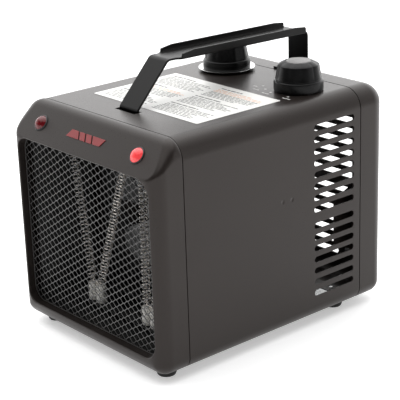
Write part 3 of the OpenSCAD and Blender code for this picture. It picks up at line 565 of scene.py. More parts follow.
def make_light():
    """A bright backdrop behind the object that falls off to a dark room on the camera's side."""
    world = bpy.data.worlds.new("studio")
    bpy.context.scene.world = world
    world.use_nodes = True
    tree = world.node_tree
    back = tree.nodes["Background"]
    back.inputs["Color"].default_value = (1, 1, 1, 1)
    toward = tree.nodes.new("ShaderNodeTexCoord")
    dot = tree.nodes.new("ShaderNodeVectorMath")
    dot.operation = "DOT_PRODUCT"
    dot.inputs[1].default_value = (-math.sin(CAMERA_AZIMUTH), math.cos(CAMERA_AZIMUTH), 0.0)
    span = tree.nodes.new("ShaderNodeMapRange")
    for key, value in (("From Min", -0.35), ("From Max", 0.75), ("To Min", 0.08), ("To Max", 2.4)):
        span.inputs[key].default_value = value
    tree.links.new(toward.outputs["Generated"], dot.inputs[0])
    tree.links.new(dot.outputs["Value"], span.inputs["Value"])
    tree.links.new(span.outputs["Result"], back.inputs["Strength"])
    middle = (0, 0, 0.1)
    area_light("top_box", (-0.1, -0.2, 2.3), middle, (3.0, 3.0), 46)
    area_light("right_box", (2.1, 0.9, 0.9), middle, (0.9, 1.2), 5)
    bpy.context.scene.view_settings.view_transform = "Standard"


# ---------------------------------------------------------------- case

LEAN = math.atan2(NOSE_Y - Y_FRONT - LIP_R, Z_TOP - NOSE_R - LIP_Z)
LEAN -= math.asin((NOSE_R - LIP_R) / math.hypot(NOSE_Y - Y_FRONT - LIP_R, Z_TOP - NOSE_R - LIP_Z))
LIP_Y = Y_FRONT + LIP_R
NOSE_Z = Z_TOP - NOSE_R
# Where the flat panel leaves the two rounds
PANEL_TOP = (NOSE_Y - NOSE_R * math.cos(LEAN), NOSE_Z + NOSE_R * math.sin(LEAN))
PANEL_LOW = (LIP_Y - LIP_R * math.cos(LEAN), LIP_Z + LIP_R * math.sin(LEAN))


def top_line(y):
    """Height of the bezel's upper line at a station y."""
    if y >= NOSE_Y:
        return Z_TOP
    if y >= PANEL_TOP[0]:
        return NOSE_Z + math.sqrt(max(0.0, NOSE_R ** 2 - (y - NOSE_Y) ** 2))
    if y >= PANEL_LOW[0]:
        share = (y - PANEL_LOW[0]) / (PANEL_TOP[0] - PANEL_LOW[0])
        return PANEL_LOW[1] + share * (PANEL_TOP[1] - PANEL_LOW[1])
    return LIP_Z + math.sqrt(max(0.0, LIP_R ** 2 - (y - LIP_Y) ** 2))


def front_inset(y):
    """How far the front edge's round has taken the side in at a station y."""
    d = Y_FRONT + FRONT_R - y
    return FRONT_R - math.sqrt(FRONT_R ** 2 - d ** 2) if d > 0 else 0.0


def front_depth(x, z):
    """Depth of the bezel's face behind its foremost plane."""
    def fall(d, r):
        return r - math.sqrt(max(0.0, r ** 2 - min(d, r) ** 2)) if d > 0 else 0.0
    side = fall(abs(x) - HALF_W + FRONT_R, FRONT_R)
    low = fall(Z_BASE + FRONT_R - z, FRONT_R)
    if z <= PANEL_LOW[1]:
        high = fall(z - LIP_Z, LIP_R)
    else:
        high = PANEL_LOW[0] - Y_FRONT + (z - PANEL_LOW[1]) * math.tan(math.pi / 2 - LEAN) ** -1
    return max(side, low, high)


# Radius between the top and the side of the bezel, by station: the seam, the panel's top, its
# middle and its foot
CORNER_R = [(Y_SEAM_F, 18.0), (NOSE_Y, 16.0), (PANEL_TOP[0], 13.0), (Y_FRONT + 17.0, 11.0),
            (Y_FRONT + 11.2, 8.0), (Y_FRONT + 4.3, 3.0), (Y_FRONT, 2.5)]


def corner_radius(y):
    for (y1, r1), (y0, r0) in zip(CORNER_R, CORNER_R[1:]):
        if y >= y0:
            return r0 + (r1 - r0) * min(1.0, (y - y0) / (y1 - y0))
    return CORNER_R[-1][1]


def make_bezel():
    stations = [Y_SEAM_F - SEAM_GAP, NOSE_Y]
    stations += [NOSE_Y - NOSE_R * math.sin(math.radians(a)) for a in (8, 16, 24, 32, 40)]
    stations += [PANEL_TOP[0] - k * (PANEL_TOP[0] - Y_FRONT - FRONT_R) / 6 for k in range(7)]
    steps = 10
    last_angle = math.asin((FRONT_R - 2.0) / FRONT_R)
    stations += [Y_FRONT + FRONT_R * (1 - math.sin(last_angle * k / steps)) for k in range(1, steps + 1)]
    rings = []
    for y in stations:
        inset = front_inset(y)
        low_r = max(BASE_R - inset, 3.0)
        ring = outline(HALF_W - inset, Z_BASE + inset, top_line(y), corner_radius(y), low_r)
        rings.append([(x, y, z) for x, z in ring])
    # Flat face, then the lip that rolls in around the grille
    roll = 1.1
    low = OPENING_Z - OPENING_H / 2
    high = OPENING_Z + OPENING_H / 2

    def mouth(grow):
        return outline(OPENING_W / 2 + grow, low - grow, high + grow, OPENING_R + grow, OPENING_R + grow)
    outer = [(p[0], p[2]) for p in rings[-1]]
    lip = mouth(roll)
    for t in (0.3, 0.6, 1.0):
        ring = [(a[0] + (b[0] - a[0]) * t, a[1] + (b[1] - a[1]) * t) for a, b in zip(outer, lip)]
        rings.append([(x, Y_FRONT + front_depth(x, z), z) for x, z in ring])
    base = rings[-1]
    for a in (22, 45, 67, 90):
        grow = roll * (1 - math.sin(math.radians(a)))
        deep = roll * (1 - math.cos(math.radians(a)))
        rings.append([(p[0], b[1] + deep, p[1]) for p, b in zip(mouth(grow), base)])
    rings.append([(p[0], MESH_LOW.y - 0.1, p[1]) for p in mouth(0)])
    shell = loft("front_bezel_shell", rings)
    weld(shell, 0.01, outward=False)
    orient(shell)
    thicken(shell, SHEET)
    skin = inner_flange("bezel_flange", BEZEL_HIGH.y, Y_SEAM_F - FLANGE_BACK)
    lamps = []
    for node in ("power_lamp_lens", "heat_lamp_lens"):
        place = facing(PANEL_NORMAL, lamp_centre(node))
        lamps.append(peg("hole", 7.15, -6, 6, 40, place))
    cut(shell, lamps)
    shell = join("front_bezel_shell", [shell, skin])
    soften(shell, 0.3, 2, 55)
    return finish(shell, "case_paint", node="front_bezel")


def orient(obj):
    """Turns an open skin's faces away from the middle of its box."""
    corners = [Vector(c) for c in obj.bound_box]
    centre = sum(corners, Vector()) / 8

    def work(bm):
        bmesh.ops.recalc_face_normals(bm, faces=bm.faces)
        out = sum(f.calc_area() * f.normal.dot(f.calc_center_median() - centre) for f in bm.faces)
        if out < 0:
            bmesh.ops.reverse_faces(bm, faces=bm.faces)
    edit(obj, work)


PANEL_NORMAL = Vector((0, -math.cos(LEAN), math.sin(LEAN)))
FLANGE_BACK = 6.0


def inner_flange(name, start, end):
    """Ring of sheet that slides into the wrap."""
    inset = SHEET + 0.3
    ring = outline(HALF_W - inset, Z_BASE + inset, Z_TOP - inset, TOP_R - inset, BASE_R - inset)
    skin = loft(name, [[(x, y, z) for x, z in ring] for y in (start, end)])
    orient(skin)
    thicken(skin, SHEET)
    return skin


PANEL_UP = Vector((0, math.sin(LEAN), math.cos(LEAN)))
PANEL_MIDDLE = (Vector((0, PANEL_TOP[0] + PANEL_LOW[0], PANEL_TOP[1] + PANEL_LOW[1])) / 2) + PANEL_UP * 1.2


def lamp_centre(node):
    return Vector((cad_centre(node).x, PANEL_MIDDLE.y, PANEL_MIDDLE.z))


def make_wrap():
    """The U-shaped wrap, punched flat and then bent around its four corners."""
    gap = 60.0
    legs = [("line", HALF_W - BASE_R - gap), ("bend", BASE_R), ("line", Z_TOP - Z_BASE - TOP_R - BASE_R),
            ("bend", TOP_R), ("line", 2 * (HALF_W - TOP_R)), ("bend", TOP_R),
            ("line", Z_TOP - Z_BASE - TOP_R - BASE_R), ("bend", BASE_R), ("line", HALF_W - BASE_R - gap)]
    starts = []
    at = 0.0
    for kind, size in legs:
        length = size if kind == "line" else size * math.pi / 2
        starts.append((at, length, kind, size))
        at += length
    total = at

    def bend(s):
        """Point (x, z) and outward direction at a distance s along the blank, from the left lower edge."""
        x, z = -gap, Z_BASE
        angle = math.pi
        for start, length, kind, size in starts:
            here = min(max(s - start, 0.0), length)
            along = (math.cos(angle), math.sin(angle))
            side = (-along[1], along[0])
            if kind == "line":
                x += along[0] * here
                z += along[1] * here
            else:
                turn = here / size
                x += size * (math.sin(turn) * along[0] - (1 - math.cos(turn)) * side[0])
                z += size * (math.sin(turn) * along[1] - (1 - math.cos(turn)) * side[1])
                angle -= turn
            if s <= start + length:
                break
        return (x, z), (-math.sin(angle), math.cos(angle))

    y_slots = Y_SEAM_R - 8.0 - SLOT_LEN / 2
    left_start = starts[2][0]
    right_start = starts[6][0]
    holes = []
    for i in range(SIDE_SLOTS):
        up = slot_height(i) - Z_BASE - BASE_R
        down = Z_TOP - TOP_R - slot_height(i)
        for s in (left_start + up, right_start + down):
            holes.append([(y, x) for x, y in stadium(y_slots, s, SLOT_LEN, SLOT_H)])
    middle = starts[4][0] + starts[4][1] / 2
    for node in ("thermostat_shaft", "selector_shaft"):
        c = cad_centre(node)
        holes.append(arc(middle + c.x, c.y, 5.2, 0, 345, 23))
    slot_y = Y_SEAM_F + LEG_BACK
    holes.append([(middle - 13.2, slot_y - 4), (middle + 13.2, slot_y - 4),
                  (middle + 13.2, slot_y + 4), (middle - 13.2, slot_y + 4)])
    lines = []
    for start, length, kind, size in starts:
        steps = 12 if kind == "bend" else 1
        for k in range(steps + 1):
            s = start + length * k / steps
            if 0.1 < s < total - 0.1:
                lines.append([(s, WRAP_LOW.y), (s, WRAP_HIGH.y)])
    # Two weld dimples in the right side, each a set of rings
    dimples = [Vector((right_start + Z_TOP - TOP_R - z, y)) for z, y in ((127.5, 4.0), (127.0, 15.0))]
    dimple_r = 2.6
    for d in dimples:
        for share in (1.0, 0.75, 0.5, 0.25):
            ring = arc(d.x, d.y, dimple_r * share, 0, 345, 23)
            lines.append(ring + ring[:1])
    border = [(0, WRAP_LOW.y), (total, WRAP_LOW.y), (total, WRAP_HIGH.y), (0, WRAP_HIGH.y)]
    flat, faces = punched(border, holes, lines)
    points = []
    for s, y in flat:
        (x, z), (nx, nz) = bend(s)
        sink = 0.0
        for d in dimples:
            reach = (Vector((s, y)) - d).length / dimple_r
            if reach < 1:
                sink = 0.55 * (0.5 + 0.5 * math.cos(math.pi * reach))
        points.append((x - nx * sink, y, z - nz * sink))
    wrap = new_piece("case_wrap_shell", points, faces)
    weld(wrap, 0.001, outward=False)
    orient(wrap)
    thicken(wrap, SHEET)
    soften(wrap, 0.28, 2, 55)
    return finish(wrap, "case_paint", node="case_wrap")


def make_rear_cover():
    """Drawn cap: a round that tapers from the top edge to the base, and a punched flat back."""
    top_c = (HALF_W - REAR_R, Z_TOP - REAR_R, Y_BACK - REAR_R, REAR_R)
    low_c = (HALF_W - BASE_R, Z_BASE + BASE_R, Y_BACK - REAR_DRAFT - BASE_R, BASE_R)
    corner, side = 10, 8
    skeleton = []

    def fan(c, sx, start):
        for k in range(corner + 1):
            a = math.radians(start + 90 * k / corner)
            skeleton.append((sx * c[0], c[1], c[2], c[3], math.cos(a), math.sin(a)))

    def run(c0, sx0, c1, sx1, angle):
        a = math.radians(angle)
        for k in range(1, side):
            ends = zip((sx0 * c0[0], *c0[1:]), (sx1 * c1[0], *c1[1:]))
            skeleton.append((*(u + (v - u) * k / side for u, v in ends), math.cos(a), math.sin(a)))
    stops = [(low_c, 1), (top_c, 1), (top_c, -1), (low_c, -1)]
    for k, stop in enumerate(stops):
        fan(*stop, 90 * k - 90)
        run(*stop, *stops[(k + 1) % 4], 90 * k)
    rings = []
    for y in (Y_SEAM_R + SEAM_GAP, Y_SEAM_R + 3.0):
        rings.append([(x + r * c, y, z + r * s) for x, z, yc, r, c, s in skeleton])
    for k in range(11):
        a = math.radians(9 * k)
        rings.append([(x + r * math.cos(a) * c, yc + r * math.sin(a), z + r * math.cos(a) * s)
                      for x, z, yc, r, c, s in skeleton])
    edge = []
    for x, _, z in rings[-1]:
        if not edge or math.hypot(edge[-1][0] - x, edge[-1][1] - z) > 0.01:
            edge.append((x, z))
    if math.hypot(edge[0][0] - edge[-1][0], edge[0][1] - edge[-1][1]) < 0.01:
        edge.pop()
    holes = []
    for i in range(REAR_SLOTS):
        for x in (-1, 1):
            # the lowest right-hand ones stop short of the cord inlet
            length = REAR_SLOT_SHORT if x > 0 and i >= REAR_SLOTS - 2 else REAR_SLOT_LEN
            holes.append(stadium(x * (length / 2 + 8), slot_height(i), length, SLOT_H))
    inlet = cad_centre("cord_inlet_bushing")
    holes.append(arc(inlet.x, inlet.z, 8.1, 0, 350, 35))
    flat, faces = punched(edge, holes)

    def back_plane(z):
        share = (z - low_c[1]) / (top_c[1] - low_c[1])
        return Y_BACK - REAR_DRAFT * (1 - share)
    back = new_piece("rear_panel", [(x, back_plane(z), z) for x, z in flat], faces)
    cap = join("rear_cover_shell", [loft("rear_cap", rings), back])
    weld(cap, 0.01, outward=False)
    orient(cap)
    thicken(cap, SHEET)
    skin = inner_flange("rear_flange", COVER_LOW.y, Y_SEAM_R + FLANGE_BACK)
    cap = join("rear_cover_shell", [cap, skin])
    soften(cap, 0.28, 2, 55)
    return finish(cap, "case_paint", node="rear_cover")


# ---------------------------------------------------------------- grille

MESH_PITCH_X = 10.5
MESH_PITCH_Z = 6.6
STRAND = 1.3
BOND = 1.9


def make_grille():
    """Expanded metal: rows of slits pulled open to six-sided meshes, with a flat strip around them."""
    half_w = OPENING_W / 2 + 1.0
    half_h = OPENING_H / 2 + 1.0
    cols = int(half_w / (MESH_PITCH_X / 2)) + 1
    rows = int(half_h / (MESH_PITCH_Z / 2)) + 1
    px, pz = MESH_PITCH_X / 2, MESH_PITCH_Z / 2
    tip = px - BOND / 2 - STRAND * 0.35
    flat = pz - STRAND / 2
    mid_y = (MESH_LOW.y + MESH_HIGH.y) / 2
    index = {}
    points = []

    def vertex(i, j, which):
        """Vertex of the opening centred at cell (i, j)."""
        dx, dz = {"left": (-tip, 0), "right": (tip, 0),
                  "top_left": (-BOND / 2, flat), "top_right": (BOND / 2, flat),
                  "low_left": (-BOND / 2, -flat), "low_right": (BOND / 2, -flat)}[which]
        key = (i, j, which)
        if key not in index:
            index[key] = len(points)
            x = max(-half_w, min(half_w, i * px + dx))
            z = max(-half_h, min(half_h, j * pz + dz))
            points.append((x, mid_y, OPENING_Z + z))
        return index[key]

    faces = []
    for i in range(-cols, cols + 1):
        for j in range(-rows, rows + 1):
            if (i + j) % 2 == 0:
                continue
            # A bond sits between four openings; two strands rise from it
            right, left = vertex(i + 1, j, "left"), vertex(i - 1, j, "right")
            over = vertex(i, j + 1, "low_right"), vertex(i, j + 1, "low_left")
            under = vertex(i, j - 1, "top_left"), vertex(i, j - 1, "top_right")
            faces.append((right, *over, left, *under))
            if i < cols and j < rows:
                faces.append((right, vertex(i + 1, j, "top_left"), vertex(i, j + 1, "right"), over[0]))
            if i > -cols and j < rows:
                faces.append((left, over[1], vertex(i, j + 1, "left"), vertex(i - 1, j, "top_right")))
    lattice = new_piece("lattice", points, faces)

    def tidy(bm):
        bmesh.ops.remove_doubles(bm, verts=bm.verts, dist=0.01 * MM)
        flat_faces = [f for f in bm.faces if f.calc_area() < 0.02 * MM * MM]
        bmesh.ops.delete(bm, geom=flat_faces, context="FACES")
        loose = [v for v in bm.verts if not v.link_faces]
        bmesh.ops.delete(bm, geom=loose, context="VERTS")
        bmesh.ops.recalc_face_normals(bm, faces=bm.faces)
    edit(lattice, tidy)
    thicken(lattice, 0.5, 0, False)
    # Flat edge strip that the bezel's lip holds
    rings = []
    border = 2.4
    for grow, y in ((0.0, -0.6), (border, -0.6), (border, 0.6), (0.0, 0.6)):
        rings.append([(x, mid_y + y, z) for x, z in outline(
            OPENING_W / 2 - 0.6 + grow, OPENING_Z - OPENING_H / 2 + 0.6 - grow,
            OPENING_Z + OPENING_H / 2 - 0.6 + grow, OPENING_R + grow, OPENING_R + grow)])
    strip = loft("strip", rings, loop=True)
    weld(strip)
    grille = join("grille_expanded_metal", [lattice, strip])
    soften(grille, 0.12, 1, 60)
    return finish(grille, "mesh_paint", node="grille_mesh")


# ---------------------------------------------------------------- handle


def rounded_path(corners, radii, steps=7):
    """Points of a polyline in Y and Z with its corners rounded, and the direction at each."""
    points = [Vector(corners[0])]
    for k in range(1, len(corners) - 1):
        a, b, c = (Vector(p) for p in corners[k - 1:k + 2])
        into, out = (b - a).normalized(), (c - b).normalized()
        turn = into.angle(out)
        cut_back = radii[k - 1] * math.tan(turn / 2)
        start = b - into * cut_back
        end = b + out * cut_back
        for j in range(steps + 1):
            t = j / steps
            # a circular arc as a rational quadratic curve
            w = math.cos(turn / 2)
            d = (1 - t) ** 2 + 2 * w * t * (1 - t) + t ** 2
            points.append(((1 - t) ** 2 * start + 2 * w * t * (1 - t) * b + t ** 2 * end) / d)
    points.append(Vector(corners[-1]))
    return points


def make_handle():
    strap, thick = 25.0, 2.0
    grip_w, grip_edge = 2 * HANDLE_HIGH.x, 5.0
    y_leg = Y_SEAM_F + LEG_BACK
    y_leg_top = y_leg + LEG_RUN
    z_grip = Z_TOP + LEG_RISE
    z_rear = z_grip - 3.0
    y_rear = HANDLE_HIGH.y - thick / 2
    z_inner = HANDLE_LOW.z + thick / 2
    y_inner = y_leg - (Z_TOP - z_inner) * LEG_RUN / LEG_RISE
    grip0, grip1 = y_leg_top + 14.0, y_rear - 5.0
    flare = 6.0
    corners = [(y_inner + 20, z_inner), (y_inner, z_inner), (y_leg_top, z_grip), (y_rear, z_rear),
               (y_rear, Z_TOP + thick / 2), (y_rear - 20, Z_TOP + thick / 2)]
    path = rounded_path(corners, [2.5, 6.0, 5.0, 2.5])
    # Extra stations where the grip begins, flares and ends
    extra = [grip0 - flare, grip0 - flare * 0.66, grip0 - flare * 0.33, grip0 - 0.6, grip0, grip1 - 0.5,
             grip1, grip1 + 1.0]
    extra += [grip0 + (grip1 - grip0) * k / 12 for k in range(1, 12)]
    slope = (z_rear - z_grip) / (y_rear - y_leg_top)
    flat_run = list(path)
    for y in extra:
        flat_run.append(Vector((y, z_grip + slope * (y - y_leg_top))))
    on_grip = [p for p in flat_run if abs(p[1] - (z_grip + slope * (p[0] - y_leg_top))) < 0.02
               and y_leg_top + 1 < p[0] < y_rear - 1]
    before = [p for p in path if p[0] <= y_leg_top + 6 and p not in on_grip and p[1] < z_grip + 0.1
              and path.index(p) < len(path) / 2]
    after = [p for p in path if p not in on_grip and p not in before]
    path = before + sorted(on_grip, key=lambda p: p[0]) + after
    clean = [path[0]]
    for p in path[1:]:
        if (p - clean[-1]).length > 0.05:
            clean.append(p)
    rings = []
    for k, p in enumerate(clean):
        d = (clean[min(k + 1, len(clean) - 1)] - clean[max(k - 1, 0)]).normalized()
        normal = Vector((-d[1], d[0]))
        grow = 0.0
        edge = 0.03
        on_top = p in on_grip
        if on_top:
            t = (p[0] - (grip0 - flare)) / flare
            back = (grip1 + 3.0 - p[0]) / 3.0
            share = max(0.0, min(1.0, t, back))
            grow = share * share * (3 - 2 * share) * (grip_w - strap) / 2
            if grip0 - 0.01 <= p[0] <= grip1 + 0.01:
                ease = min(1.0, (p[0] - grip0 + 0.6) / 3.0, (grip1 + 0.6 - p[0]) / 3.0)
                edge = grip_edge * math.sqrt(max(0.05, 1 - (1 - ease) ** 2))
        h = strap / 2 + grow
        t2 = thick / 2
        r = 0.9
        wall = thick * 0.85
        right = [(h - r, -t2)]
        right += arc(h - r, -t2 + r, r, -60, 0, 2)
        right += [(h, t2 + edge - 0.5), (h - 0.25, t2 + edge - 0.12), (h - 0.7, t2 + edge),
                  (h - wall + 0.35, t2 + edge), (h - wall, t2 + edge * 0.9),
                  (h - wall - 0.15, t2 + edge * 0.25), (h - wall - 0.9, t2)]
        half = right + [(h * 0.4, t2)]
        ring2d = half + [(-x, n) for x, n in reversed(half)]
        rings.append([(x, p[0] + normal[0] * n, p[1] + normal[1] * n) for x, n in ring2d])
    handle = loft("handle_strap", rings, caps=True)
    weld(handle, 0.004)
    holes = []
    for x in (-7, 7):
        holes.append(peg("hole", 2.0, -4, 4, 24, Matrix.Translation((x, y_inner + 14, z_inner))))
    screw_y = cad("handle_screws")[1].y - HEAD_R
    holes.append(peg("hole", 2.0, -2, 4, 24, Matrix.Translation((0, screw_y, Z_TOP + 1))))
    cut(handle, holes)
    soften(handle, 0.2, 2, 50)
    return finish(handle, "handle_paint", node="handle")


# ---------------------------------------------------------------- screws


HEAD_R = 3.6


def pan_screw(name, at, direction, shank, head_r=HEAD_R, head_h=2.2, shank_r=1.9):
    """Pan-head screw with a cross recess; direction points out of the head."""
    place = facing(direction, at)
    dome = [(head_r, 0.0), (head_r, 0.7)] + [
        (head_r * math.cos(math.radians(a)) ** 0.8, 0.7 + (head_h - 0.7) * math.sin(math.radians(a)))
        for a in (15, 30, 45, 60, 75)] + [(0.001, head_h)]
    thread = []
    turns = int(shank / 0.7)
    for k in range(turns):
        z = -shank + k * shank / turns
        thread += [(shank_r - 0.35, z), (shank_r, z + shank / turns / 2)]
    body = lathe(name, [(0.001, -shank)] + thread + [(shank_r - 0.2, 0.0)] + dome, 32, place)
    slots = []
    for turn in (0, 90):
        half, wide = 2.1, 0.42
        pts = [(x * half * (0.6 if z < 1 else 1), y * wide * (0.6 if z < 1 else 1), z)
               for z in (head_h - 1.3, head_h + 0.5) for x, y in ((-1, -1), (1, -1), (1, 1), (-1, 1))]
        turned = [place @ Matrix.Rotation(math.radians(turn + 20), 4, "Z") @ Vector(p) for p in pts]
        slots.append(new_piece("slot", turned, BLOCK_FACES))
    for slot in slots:
        cut(body, [slot])
    return body


def make_screws():
    low, high = cad("handle_screws")
    sheet_in = Z_TOP - SHEET
    top = pan_screw("screw", (0, high.y - HEAD_R, Z_TOP + 2.0), (0, 0, 1), 6.0)
    y_inner = low.y + HEAD_R
    under = [pan_screw("screw", (x, y_inner, sheet_in - 2.0), (0, 0, -1), 2.0) for x in (-7, 7)]
    finish(smooth_join("handle_screw_set", [top] + under), "zinc_steel", node="handle_screws")
    for kind, seat in (("foot_screw", 3.0), ("cover_screw", Z_BASE)):
        low, high = cad(kind + "s")
        spots = [(x, y) for x in (low.x + HEAD_R, high.x - HEAD_R)
                 for y in (low.y + HEAD_R, high.y - HEAD_R)]
        screws = [pan_screw("screw", (x, y, seat), (0, 0, -1), high.z - seat) for x, y in spots]
        finish(smooth_join(kind + "_set", screws), "zinc_steel", node=kind + "s")


def smooth_join(name, objects, angle=35.0):
    out = join(name, objects)
    smooth(out, angle)
    return out


# ---------------------------------------------------------------- knobs


def make_knob(node, cap_node, body, name):
    """Skirted knob with broad flutes; the flutes run out in the chamfer at the top."""
    low, high = cad(node)
    centre = cad_centre(node)
    place = Matrix.Translation((centre.x, centre.y, low.z))
    skirt_r = (high.x - low.x) / 2
    height = high.z - low.z
    skirt_h = 9.5
    cap_low, cap_high = cad(cap_node)
    cap_r = (cap_high.x - cap_low.x) / 2
    seat = cap_low.z - low.z
    flutes = 10
    top_r = skirt_r - 3.6

    def fluted(r, z, a):
        if z < skirt_h + 0.6 or r < cap_r + 0.8:
            return r
        wave = abs(math.sin(a * flutes / 2)) ** 0.8
        fade = min(1.0, (z - skirt_h - 0.6) / 2.0)
        return r - 0.6 * (1 - wave) * fade

    chamfer = height - 3.4
    profile = [(3.1, 2.0), (17.6, 2.0), (19.6, 1.2), (20.2, 0.0), (skirt_r - 0.5, 0.0),
               (skirt_r - 0.1, 0.25), (skirt_r, 0.7), (skirt_r, 4.0), (skirt_r - 0.1, 7.6),
               (skirt_r - 0.35, 8.4), (skirt_r - 0.9, 9.0),
               (skirt_r - 1.7, 9.2), (skirt_r - 1.85, skirt_h), (skirt_r - 1.85, skirt_h + 0.6)]
    body_r = skirt_r - 1.5
    steps = 9
    for k in range(steps + 1):
        t = k / steps
        z = skirt_h + 0.9 + (chamfer - skirt_h - 0.9) * t
        profile.append((body_r + (top_r - body_r) * t, z))
    profile += [(top_r - 0.35, chamfer + 0.45), (top_r - 2.4, chamfer + 1.7), (cap_r + 1.9, height - 0.35),
                (cap_r + 1.3, height - 0.05), (cap_r + 0.7, height), (cap_r + 0.25, height - 0.1),
                (cap_r + 0.12, height - 0.4), (cap_r + 0.12, seat - 0.05), (3.1, seat - 0.05)]
    knob = lathe(name, profile, 240, place, fluted)
    close_bore(knob)
    smooth(knob, 40)
    keep_flats(knob)
    finish(knob, "knob_plastic", body, node)
    # Spun cap with a raised rim and a slightly dished face; its pale grey also stands in for a painted
    # highlight of the overhead light on the knob's top
    cap = lathe(name + "_cap", [
        (0.001, 0.0), (cap_r, 0.0), (cap_r, 0.75), (cap_r - 0.15, 1.05), (cap_r - 0.5, 1.2),
        (cap_r - 1.0, 1.12),
        (cap_r - 1.4, 0.95), (cap_r * 0.6, 0.88), (cap_r * 0.3, 0.82), (0.001, 0.8)], 96,
        Matrix.Translation((centre.x, centre.y, cap_low.z)))
    smooth(cap, 45)
    finish(cap, "knob_cap", body, cap_node)


def close_bore(obj):
    """Joins the inner rims of a turned part with a bore wall."""
    def work(bm):
        edges = [e for e in bm.edges if e.is_boundary]
        if edges:
            bmesh.ops.bridge_loops(bm, edges=edges)
        bmesh.ops.recalc_face_normals(bm, faces=bm.faces)
    edit(obj, work)


def make_dial_ring():
    low, high = cad("thermostat_dial_ring")
    c = cad_centre("thermostat_dial_ring")
    r = (high.x - low.x) / 2
    h = high.z - low.z
    profile = [(5.2, 0.0), (r - 5.0, 0.0), (r - 3.0, 0.35), (r - 1.4, h - 1.5), (r - 0.7, h - 0.75),
               (r - 0.2, h - 0.55), (r, h - 0.3), (r - 0.12, h - 0.06), (r - 0.4, h),
               (r - 0.9, h - 0.12), (r - 1.6, h - 0.7),
               (r - 2.6, 1.35), (r - 3.8, 0.95), (r - 5.4, 0.8), (5.2, 0.8)]
    ring = lathe("thermostat_dial_dish", profile + profile[:1], 128, Matrix.Translation((c.x, c.y, low.z)))
    smooth(ring, 40)
    finish(ring, "dial_ring", node="thermostat_dial_ring")


# ---------------------------------------------------------------- lamps, badge, label, marks


def make_lamps():
    collar_r, lens_r, dome, collar_t = 7.55, 6.5, 3.8, 1.0
    for node, material, name in (("power_lamp_lens", "lamp_red_dark", "power_lamp"),
                                 ("heat_lamp_lens", "lamp_red_lit", "heat_lamp")):
        place = facing(PANEL_NORMAL, lamp_centre(node))
        sphere_r = (lens_r ** 2 + dome ** 2) / (2 * dome)
        profile = [(0.001, -2.0), (lens_r - 0.5, -2.0), (lens_r - 0.5, collar_t), (lens_r, collar_t)]
        top_angle = math.asin(lens_r / sphere_r)
        for k in range(1, 11):
            a = top_angle * (1 - k / 10)
            rise = sphere_r * (1 - math.cos(a))
            profile.append((max(0.001, sphere_r * math.sin(a)), collar_t + dome - rise))

        def ribbed(r, z, a):
            return r * (1 - 0.012 * (1 + math.cos(18 * a))) if z > collar_t + 0.3 and r > 1 else r
        lens = lathe(name + "_dome", profile, 72, place, ribbed)
        smooth(lens, 50)
        finish(lens, material, node=node)
    # Collars and barrels of both lamps, with their two tabs
    parts = []
    for node in ("power_lamp_lens", "heat_lamp_lens"):
        place = facing(PANEL_NORMAL, lamp_centre(node))
        collar = lathe("collar", [
            (lens_r + 0.5, -11.0), (lens_r + 0.5, 0.0), (collar_r, 0.0), (collar_r, 0.4),
            (collar_r - 0.2, 0.8),
            (collar_r - 0.6, collar_t), (lens_r + 0.1, collar_t), (lens_r + 0.05, 0.6),
            (lens_r - 0.45, 0.5), (lens_r - 0.45, -2.05),
            (0.001, -2.05), (0.001, -2.2), (lens_r - 1.0, -2.2), (lens_r - 1.0, -10.8), (0.001, -10.8),
            (0.001, -11.0), (lens_r + 0.5, -11.0)], 64, place)
        parts.append(collar)
        for s in (-1, 1):
            tab = block_points((s * 3 - 0.4, s * 3 + 0.4), (-2, 2), (-14, -10.9))
            parts.append(new_piece("tab", [place @ Vector(p) for p in tab], BLOCK_FACES))
    finish(smooth_join("lamp_collars_and_barrels", parts), "black_plastic", node="lamp_housings")


def make_label():
    """Thin film with rounded corners, and rows of plain bars where a real one is printed."""
    cx = (LABEL_LOW.x + LABEL_HIGH.x) / 2
    cy = (LABEL_LOW.y + LABEL_HIGH.y) / 2
    hw = (LABEL_HIGH.x - LABEL_LOW.x) / 2
    hl = (LABEL_HIGH.y - LABEL_LOW.y) / 2
    top = LABEL_HIGH.z
    r = 1.5
    border = [p for sx, sy, a in ((1, -1, -90), (1, 1, 0), (-1, 1, 90), (-1, -1, 180))
              for p in arc(cx + sx * (hw - r), cy + sy * (hl - r), r, a, a + 90, 6)]
    rings = [[(x, y, z) for x, y in border] for z in (Z_TOP + 0.02, top - 0.02)]
    film = loft("info_label_film", rings, caps=True)
    weld(film, 0.001)
    finish(film, "label_film", node="info_label")
    draw = random.Random(7)
    bars = {"print_grey": [], "print_orange": []}
    columns = [(LABEL_LOW.x + 7, LABEL_LOW.x + 66), (LABEL_LOW.x + 73, LABEL_HIGH.x - 7)]
    y = LABEL_HIGH.y - 7.0
    row = 0
    while y > LABEL_LOW.y + 6:
        heading = row in (0, 9, 17)
        tall = 1.9 if heading else 1.15
        for c0, c1 in columns:
            x = c0
            end = c0 + 26 + 14 * draw.random() if heading else c1 - 18 * draw.random() ** 2
            orange = (row in (1, 2, 3) and c0 > cx) or (row in (10, 11) and c0 < cx)
            kind = "print_orange" if orange else "print_grey"
            while x < end - 2:
                run = min(end - x, 3.0 + 7.0 * draw.random())
                bars[kind].append((x, x + run, y - tall, y))
                x += run + 1.2
        y -= tall + (2.6 if heading else 1.75)
        row += 1
        if row in (9, 17):
            y -= 3.0
    for kind, name in (("print_grey", "label_bars_grey"), ("print_orange", "label_bars_orange")):
        pts, faces = [], []
        for x0, x1, y0, y1 in bars[kind]:
            base = len(pts)
            pts += block_points((x0, x1), (y0, y1), (top - 0.02, top + 0.03))
            faces += [tuple(base + k for k in f) for f in BLOCK_FACES]
        finish(new_piece(name, pts, faces), kind)


